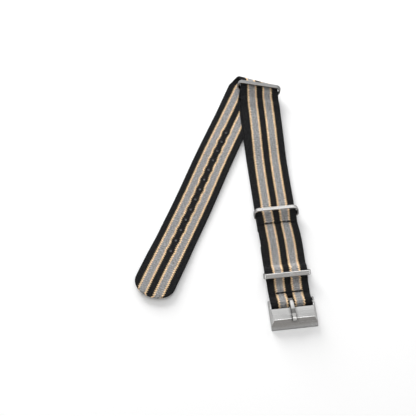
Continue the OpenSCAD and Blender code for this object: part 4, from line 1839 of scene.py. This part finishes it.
@dataclass(frozen=True)
class WebbingFinish:
    """Striped nylon webbing: black with grey bands between beige lines, in a fine chevron weave.

    Attributes:
        borders: distances from the middle at which the colour changes.
        soft: half the width of such a change, as a share of half_w.
        column: width of one chevron, and rib its length.
        slant: how far a chevron's arms lean, as a share of its length.
        wander: how far the rows of chevrons stray, and drift how far the borders do.
        serration: how far the borders step in and out from rib to rib.
        rope: brightness of a beige line's dark turns, as a share of its bright ones.
        yarn: contrast of the yarns and their darkest level.
        relief: share by which the weave shades the colour, and level of its hollows.
        yarn_shine: light on the brightest yarns, above the level gleam_from.
        melt_shine: light on melted rims, which are smoother by melt_gloss.
        weave_bump: strength and depth of the weave in the shading.
    """

    black: Colour = (0.0068, 0.0068, 0.0075, 1.0)
    beige: Colour = (0.95, 0.68, 0.41, 1.0)
    grey: Colour = (0.285, 0.285, 0.288, 1.0)
    borders: tuple[float, ...] = (1.73, 2.63, 5.93, 6.84)
    half_w: float = 10.5
    soft: float = 0.010
    column: float = 1.1
    rib: float = 1.12
    slant: float = 0.4
    wander: float = 1.5
    drift: float = 0.24
    serration: float = 0.7
    rope: float = 0.6
    yarn: Pair = (2.6, -0.3)
    relief: Pair = (0.48, 0.77)
    yarn_shine: float = 0.045
    gleam_from: float = 0.40
    melt_shine: float = 0.26
    melt_gloss: float = 0.35
    roughness: Pair = (-0.12, 0.78)
    weave_bump: Pair = (0.55, 0.11)
    fluff: float = 0.35

    def chevrons(self, sheet: Sheet, u: Input, v: Input, mottle: Input) -> Socket:
        """Height of the weave's small chevrons.

        Args:
            sheet: the material.
            u: place across the webbing.
            v: place along it.
            mottle: the noise with which the rows wander.

        Returns:
            The height's output, from 0 to 1.
        """
        tent = sheet.math("PINGPONG", sheet.math("DIVIDE", u, self.column), 0.5)
        row = sheet.math("ADD", sheet.math("DIVIDE", v, self.rib), sheet.math("MULTIPLY", tent, self.slant))
        row = sheet.math("ADD", row, sheet.math("MULTIPLY", mottle, self.wander))
        wave = sheet.math("SINE", sheet.math("MULTIPLY", row, 2 * math.pi))
        ridge = sheet.math("MULTIPLY_ADD", wave, 0.5, 0.5)
        valley = sheet.math("POWER", sheet.math("MULTIPLY", tent, 2.0), 3.0)
        return sheet.math("MULTIPLY", ridge, sheet.math("MULTIPLY_ADD", valley, -0.35, 1.0))

    def stripes(self, sheet: Sheet, share: Input, level: float) -> Socket:
        """Colour of the stripes.

        Args:
            sheet: the material.
            share: distance from the middle, as a share of half_w.
            level: brightness of the beige lines.

        Returns:
            The colour's output.
        """
        beige = tuple(level * part for part in self.beige[:3]) + (1.0,)
        colours = (self.black, beige, self.grey, beige, self.black)
        stops = [(0.0, self.black)]
        for border, before, after in zip(self.borders, colours, colours[1:]):
            at = border / self.half_w
            stops += [(at - self.soft, before), (at + self.soft, after)]
        stops.append((1.0, self.black))
        return sheet.ramp(share, stops)

    def make(self, name: str) -> Material:
        """Builds the material.

        Args:
            name: its name.

        Returns:
            The material, laid out in the weave map.
        """
        sheet = Sheet(name)
        place_on = sheet.node("ShaderNodeUVMap", uv_map=WEAVE_MAP).outputs["UV"]
        u, v = sheet.axes(place_on)[:2]
        mottle = sheet.noise(place_on, 1.1, 3.0, 0.75)
        weave = self.chevrons(sheet, u, v, mottle)
        tooth = sheet.math("PINGPONG", sheet.math("DIVIDE", v, self.rib), 0.5)
        jag = sheet.math("MULTIPLY_ADD", tooth, 2 * self.serration, -self.serration / 2)
        stray = sheet.math("MULTIPLY_ADD", sheet.noise(place_on, 0.35, 1.0), self.drift, -self.drift / 2)
        place_u = sheet.math("ADD", sheet.math("ABSOLUTE", u), sheet.math("ADD", jag, stray))
        share = sheet.math("DIVIDE", place_u, self.half_w)
        bands = [self.stripes(sheet, share, level) for level in (1.0, self.rope)]
        twist = sheet.math("MULTIPLY_ADD", u, 0.4, sheet.math("DIVIDE", v, self.rib))
        base = sheet.mix(sheet.math("MULTIPLY", sheet.math("PINGPONG", twist, 0.5), 2.0), *bands)
        yarn = sheet.math("MULTIPLY_ADD", mottle, *self.yarn)
        shade = sheet.math("MULTIPLY", sheet.math("MULTIPLY_ADD", weave, *self.relief), yarn)
        gleam = sheet.math("MAXIMUM", sheet.math("SUBTRACT", mottle, self.gleam_from), 0.0)
        lit = sheet.math("MULTIPLY", gleam, sheet.math("MULTIPLY_ADD", weave, 0.5, 0.5))
        sealed = sheet.marked(SEALED)
        melt = sheet.math("MULTIPLY", sealed, sheet.math("MULTIPLY", mottle, self.melt_shine))
        shine = sheet.math("MULTIPLY_ADD", lit, self.yarn_shine, melt)
        colour = sheet.add_colour(sheet.scale_colour(base, shade), shine)
        sheet.feed(sheet.shader.inputs["Base Color"], colour)
        dull = sheet.math("MULTIPLY_ADD", weave, *self.roughness)
        rough = sheet.math("MULTIPLY_ADD", sealed, -self.melt_gloss, dull)
        sheet.feed(sheet.shader.inputs["Roughness"], rough)
        sheet.set({"Specular IOR Level": 0.12, "Sheen Weight": 0.012, "Sheen Roughness": 0.45})
        fine = sheet.noise(place_on, 7.0, 2.0, 0.6)
        sheet.bump(sheet.math("MULTIPLY_ADD", fine, self.fluff, weave), *self.weave_bump)
        return sheet.material


@dataclass(frozen=True)
class ThreadFinish:
    """Black polyester thread."""

    colour: Colour = (0.007, 0.007, 0.008, 1.0)

    def make(self, name: str) -> Material:
        """Builds the material.

        Args:
            name: its name.

        Returns:
            The material.
        """
        sheet = Sheet(name)
        fibre = sheet.noise(sheet.object_place((1.0, 1.0, 1.0)), 9000.0, 2.0)
        shade = sheet.math("MULTIPLY_ADD", fibre, 0.6, 0.7)
        sheet.feed(sheet.shader.inputs["Base Color"], sheet.scale_colour(self.colour, shade))
        sheet.set({"Roughness": 0.6, "Specular IOR Level": 0.2, "Sheen Weight": 0.03})
        sheet.bump(fibre, 0.3, 0.03)
        return sheet.material


class Grain(Enum):
    """Way in which a metal's brush lines run, as stretches of a noise along x, y and z."""

    ACROSS = (60.0, 2600.0, 2600.0)
    ALONG = (2600.0, 60.0, 2600.0)
    NONE = (700.0, 700.0, 700.0)


@dataclass(frozen=True)
class SteelFinish:
    """Steel with a brushed, satin or turned surface.

    Attributes:
        rough: mean roughness, with spread from brush line to brush line and smear over patches.
        streak: share by which the brush lines shade the colour, and line_depth their depth.
        light_bands: places along the piece, each with how bright it is painted there, as painted highlight
            and painted shade.
        edge: radius to which sharp edges are rounded in shading.
        nook_shade: reach of the painted shade in corners and beside other parts, and nook_shade_power how
            dark it is.
        inside_shade: share by which the points marked as inside are darker: painted shade on inner faces and
            side walls.
    """

    colour: Colour = (0.66, 0.655, 0.645, 1.0)
    rough: float = 0.3
    spread: float = 0.16
    smear: float = 0.1
    line_depth: float = 0.006
    streak: float = 0.16
    grain: Grain = Grain.ACROSS
    light_bands: tuple[Pair, ...] = ()
    edge: float = 0.0
    nook_shade: float = 0.0
    nook_shade_power: float = 1.4
    inside_shade: float = 0.8

    def make(self, name: str) -> Material:
        """Builds the material.

        Args:
            name: its name.

        Returns:
            The material.
        """
        sheet = Sheet(name)
        lines = sheet.noise(sheet.object_place(self.grain.value), 1.0, 3.0, 0.65)
        patches = sheet.noise(sheet.object_place((260.0, 260.0, 260.0)), 1.0, 2.0)
        level = sheet.math("MULTIPLY_ADD", lines, self.spread, self.rough - self.spread / 2)
        worn = sheet.math("MULTIPLY_ADD", patches, self.smear, -self.smear / 2)
        sheet.feed(sheet.shader.inputs["Roughness"], sheet.math("ADD", level, worn))
        shade = sheet.math("MULTIPLY_ADD", lines, self.streak, 1.0 - self.streak / 2)
        # painted highlights and painted shade in stretches along the piece
        if self.light_bands:
            shade = sheet.math("MULTIPLY", shade, self.painted_light(sheet))
        # painted shade: the colour is darker where other surfaces lie close, as in corners and round the
        # tongue
        if self.nook_shade > 0.0:
            nook = sheet.node("ShaderNodeAmbientOcclusion", samples=8)
            nook.inputs["Distance"].default_value = self.nook_shade * MM
            unshaded = sheet.math("POWER", nook.outputs["AO"], self.nook_shade_power)
            shade = sheet.math("MULTIPLY", shade, unshaded)
        # painted shade: points marked as inside are drawn darker
        inner = sheet.math("MULTIPLY_ADD", sheet.marked(INSIDE), -self.inside_shade, 1.0)
        shade = sheet.math("MULTIPLY", shade, inner)
        sheet.feed(sheet.shader.inputs["Base Color"], sheet.scale_colour(self.colour, shade))
        sheet.set({"Metallic": 1.0})
        sheet.bump(lines, 0.5, self.line_depth, self.edge)
        return sheet.material

    def painted_light(self, sheet: Sheet) -> Socket:
        """Painted highlights and painted shade in stretches along the piece.

        Args:
            sheet: the material.

        Returns:
            The brightness's output.
        """
        first, last = self.light_bands[0][0], self.light_bands[-1][0]
        span = (last - first) * MM
        along = sheet.axes(sheet.object_place((1.0, 1.0, 1.0)))["Y"]
        along = sheet.math("MULTIPLY_ADD", along, 1.0 / span, -first * MM / span)
        stops = [((at - first) / (last - first), (level, level, level, 1.0)) for at, level in self.light_bands]
        grey = sheet.node("ShaderNodeSeparateColor")
        sheet.feed(grey.inputs[0], sheet.ramp(along, stops))
        return grey.outputs[0]


@dataclass(frozen=True)
class Softbox:
    """A square soft light aimed at the strap, which the metal doesn't show. Its sizes are metres."""

    name: str
    place: Triple
    size: float
    watts: float
    target: Triple = (-0.02, 0.02, 0.0)

    def build(self) -> None:
        """Adds the light."""
        data = bpy.data.lights.new(self.name, "AREA")
        data.size, data.energy = self.size, self.watts
        lamp = add_object(self.name, data)
        lamp.location = self.place
        aim = Vector(self.target) - Vector(self.place)
        lamp.rotation_euler = aim.to_track_quat("-Z", "Y").to_euler()
        lamp.visible_glossy = False


@dataclass
class Studio:
    """White floor, soft lights and the camera at the photograph's angle.

    Attributes:
        eye: the camera's place in millimetres, and target the point it looks at.
        lens: its focal length, sensor its width, and roll its lean in degrees.
        floor_size: the floor's side, and floor_drop its depth below the strap, in metres.
        floor_glow: white that the camera and gloss see on the floor on top of its colour.
        floor_gloss: the floor's colour as gloss sees it.
        gloss_sky: what gloss sees from the front to the back, as places and colours.
        side_fade: share by which that is darker at the sides.
        even: level of the even light from all round.
    """

    eye: Triple = (-53.82, -195.92, 363.58)
    target: Triple = (-34.28, 10.26, 0.0)
    lens: float = 69.23
    sensor: float = 36.0
    roll: float = -1.03
    floor_size: float = 4.0
    floor_drop: float = 0.00003
    floor_glow: float = 0.06
    floor_colour: Colour = (0.95, 0.95, 0.95, 1.0)
    floor_gloss: Colour = (0.40, 0.40, 0.40, 1.0)
    gloss_sky: tuple[tuple[float, Colour], ...] = (
        (0.0, (0.26, 0.25, 0.24, 1.0)), (0.22, (0.46, 0.45, 0.44, 1.0)), (0.32, (0.48, 0.48, 0.48, 1.0)),
        (0.40, (2.9, 2.9, 2.9, 1.0)), (0.58, (2.9, 2.9, 2.9, 1.0)), (0.68, (0.55, 0.55, 0.55, 1.0)),
        (0.76, (0.58, 0.58, 0.58, 1.0)), (0.9, (0.85, 0.85, 0.85, 1.0)), (1.0, (1.25, 1.25, 1.25, 1.0)),
    )
    side_fade: float = 0.5
    even: float = 0.38
    lights: tuple[Softbox, ...] = (
        Softbox("key_light", (-0.27, 0.82, 0.33), 0.55, 10.6),
        Softbox("rim_light", (0.40, 0.70, 0.42), 0.45, 1.6),
        Softbox("top_light", (-0.02, -0.02, 0.90), 0.80, 2.2),
    )

    def camera(self) -> None:
        """Sets up the camera."""
        data = bpy.data.cameras.new("view")
        data.lens, data.sensor_width = self.lens, self.sensor
        data.clip_start, data.clip_end = 0.01, 20.0
        eye, target = Vector(self.eye) * MM, Vector(self.target) * MM
        ahead = (target - eye).normalized()
        right = ahead.cross(Vector((0, 0, 1))).normalized()
        up = right.cross(ahead)
        a = math.radians(self.roll)
        side = math.cos(a) * right + math.sin(a) * up
        rise = math.cos(a) * up - math.sin(a) * right
        rig = add_object("view", data)
        rig.matrix_world = Matrix((
            (side.x, rise.x, -ahead.x, eye.x),
            (side.y, rise.y, -ahead.y, eye.y),
            (side.z, rise.z, -ahead.z, eye.z),
            (0, 0, 0, 1),
        ))
        bpy.context.scene.camera = rig

    def floor(self) -> None:
        """Lays the floor: lit white that keeps the shadow, lifted a little for the camera and for gloss."""
        half, low = self.floor_size / 2, -self.floor_drop
        mesh = bpy.data.meshes.new("floor")
        corners = [(-half, -half, low), (half, -half, low), (half, half, low), (-half, half, low)]
        mesh.from_pydata(corners, [], [(0, 1, 2, 3)])
        plane = add_object("floor", mesh)
        sheet = Sheet("floor_white")
        sheet.tree.nodes.remove(sheet.shader)
        path = sheet.node("ShaderNodeLightPath").outputs
        seen = sheet.math("MAXIMUM", path["Is Camera Ray"], path["Is Glossy Ray"])
        seen = sheet.math("MAXIMUM", seen, path["Is Transmission Ray"])
        glow = sheet.node("ShaderNodeEmission")
        sheet.feed(glow.inputs["Strength"], sheet.math("MULTIPLY", seen, self.floor_glow))
        lit = sheet.node("ShaderNodeBsdfDiffuse")
        tone = sheet.mix(path["Is Glossy Ray"], self.floor_colour, self.floor_gloss)
        sheet.feed(lit.inputs["Color"], tone)
        both = sheet.node("ShaderNodeAddShader")
        sheet.feed(both.inputs[0], lit.outputs[0])
        sheet.feed(both.inputs[1], glow.outputs[0])
        sheet.feed(sheet.output.inputs["Surface"], both.outputs[0])
        mesh.materials.append(sheet.material)

    def world(self) -> None:
        """White for the camera, even for diffuse light, and graded from front to back for gloss."""
        world = bpy.data.worlds.new("studio")
        world.use_nodes = True
        bpy.context.scene.world = world
        sky = Wiring(world.node_tree)
        x, y = sky.axes(sky.node("ShaderNodeTexCoord").outputs["Generated"])[:2]
        depth = sky.math("MULTIPLY_ADD", y, 0.5, 0.5)
        fade = sky.math("MULTIPLY_ADD", sky.math("ABSOLUTE", x), -self.side_fade, 1.0)
        path = sky.node("ShaderNodeLightPath").outputs
        gloss = sky.backdrop(sky.ramp(depth, list(self.gloss_sky)), fade)
        lit = sky.either(path["Is Glossy Ray"], sky.backdrop(WHITE, self.even), gloss)
        seen = sky.either(path["Is Camera Ray"], lit, sky.backdrop(WHITE, 1.0))
        sky.feed(sky.node("ShaderNodeOutputWorld").inputs["Surface"], seen)

    def build(self) -> None:
        """Sets up the whole studio."""
        self.camera()
        self.floor()
        self.world()
        for light in self.lights:
            light.build()
        bpy.context.scene.view_settings.view_transform = "Standard"
        log.info("studio: camera, floor, world and %d lights", len(self.lights))


# painted highlights and painted shade on the tongue: its brightness by places along the strap from its tip to
# its turn round the bar
PIN_LIGHT = (
    (-60.0, 0.5), (-56.8, 0.45), (-56.3, 0.85), (-55.4, 0.85),
    (-54.8, 0.36), (-53.0, 0.36), (-52.0, 1.0), (-46.0, 1.0),
)


def make_keepers(form: StrapForm) -> None:
    """Makes both keepers and the end ring.

    Args:
        form: the strap's sizes.
    """
    satin = SteelFinish(colour=(0.77, 0.765, 0.755, 1.0), rough=0.24).make("keeper_steel")
    dull = SteelFinish(colour=(0.41, 0.41, 0.407, 1.0), rough=0.3).make("ring_steel")
    low_bar, high_bar = (0.0, form.lower_y, form.pocket_z), (0.0, 0.0, form.pocket_z)
    ring_bar = (form.ring_x, form.ring_y, form.ring_z)
    Keeper("lower_keeper_strip", "lower_keeper", "keeper_low", satin, low_bar, -30.0).build()
    Keeper("upper_keeper_strip", "upper_keeper", "keeper_high", satin, high_bar, 28.0, top_r=2.9).build()
    Keeper(
        "end_ring_strip", "end_ring", "ring", dull, ring_bar, 13.0, form.ring_yaw,
        half=form.half_w + 0.8, corner_r=2.4, top_r=2.6, wall_shade=0.0,
    ).build()


def main() -> None:
    """Builds the strap, piece by piece, and the studio round it."""
    logging.basicConfig(level=logging.INFO, format="%(name)s: %(message)s")
    form = StrapForm()
    webbing = WebbingFinish().make("striped_webbing")
    thread = ThreadFinish().make("black_thread")
    brushed = SteelFinish(
        colour=(0.84, 0.837, 0.83, 1.0), rough=0.24, streak=0.22, edge=0.45, nook_shade=1.6
    ).make("brushed_steel")
    bright = SteelFinish(
        colour=(0.94, 0.93, 0.91, 1.0), rough=0.2, grain=Grain.ALONG, light_bands=PIN_LIGHT, edge=0.2, nook_shade=1.6
    ).make("bright_steel")
    plain = SteelFinish(rough=0.34, grain=Grain.NONE).make("plain_steel")
    LongStrap(form, webbing).build()
    ShortStrap(form, webbing).build()
    Stitching(form, thread).build()
    make_keepers(form)
    Buckle(brushed, bright).build()
    SpringBar(form, plain).build()
    Studio().build()


if __name__ == "__main__":
    main()
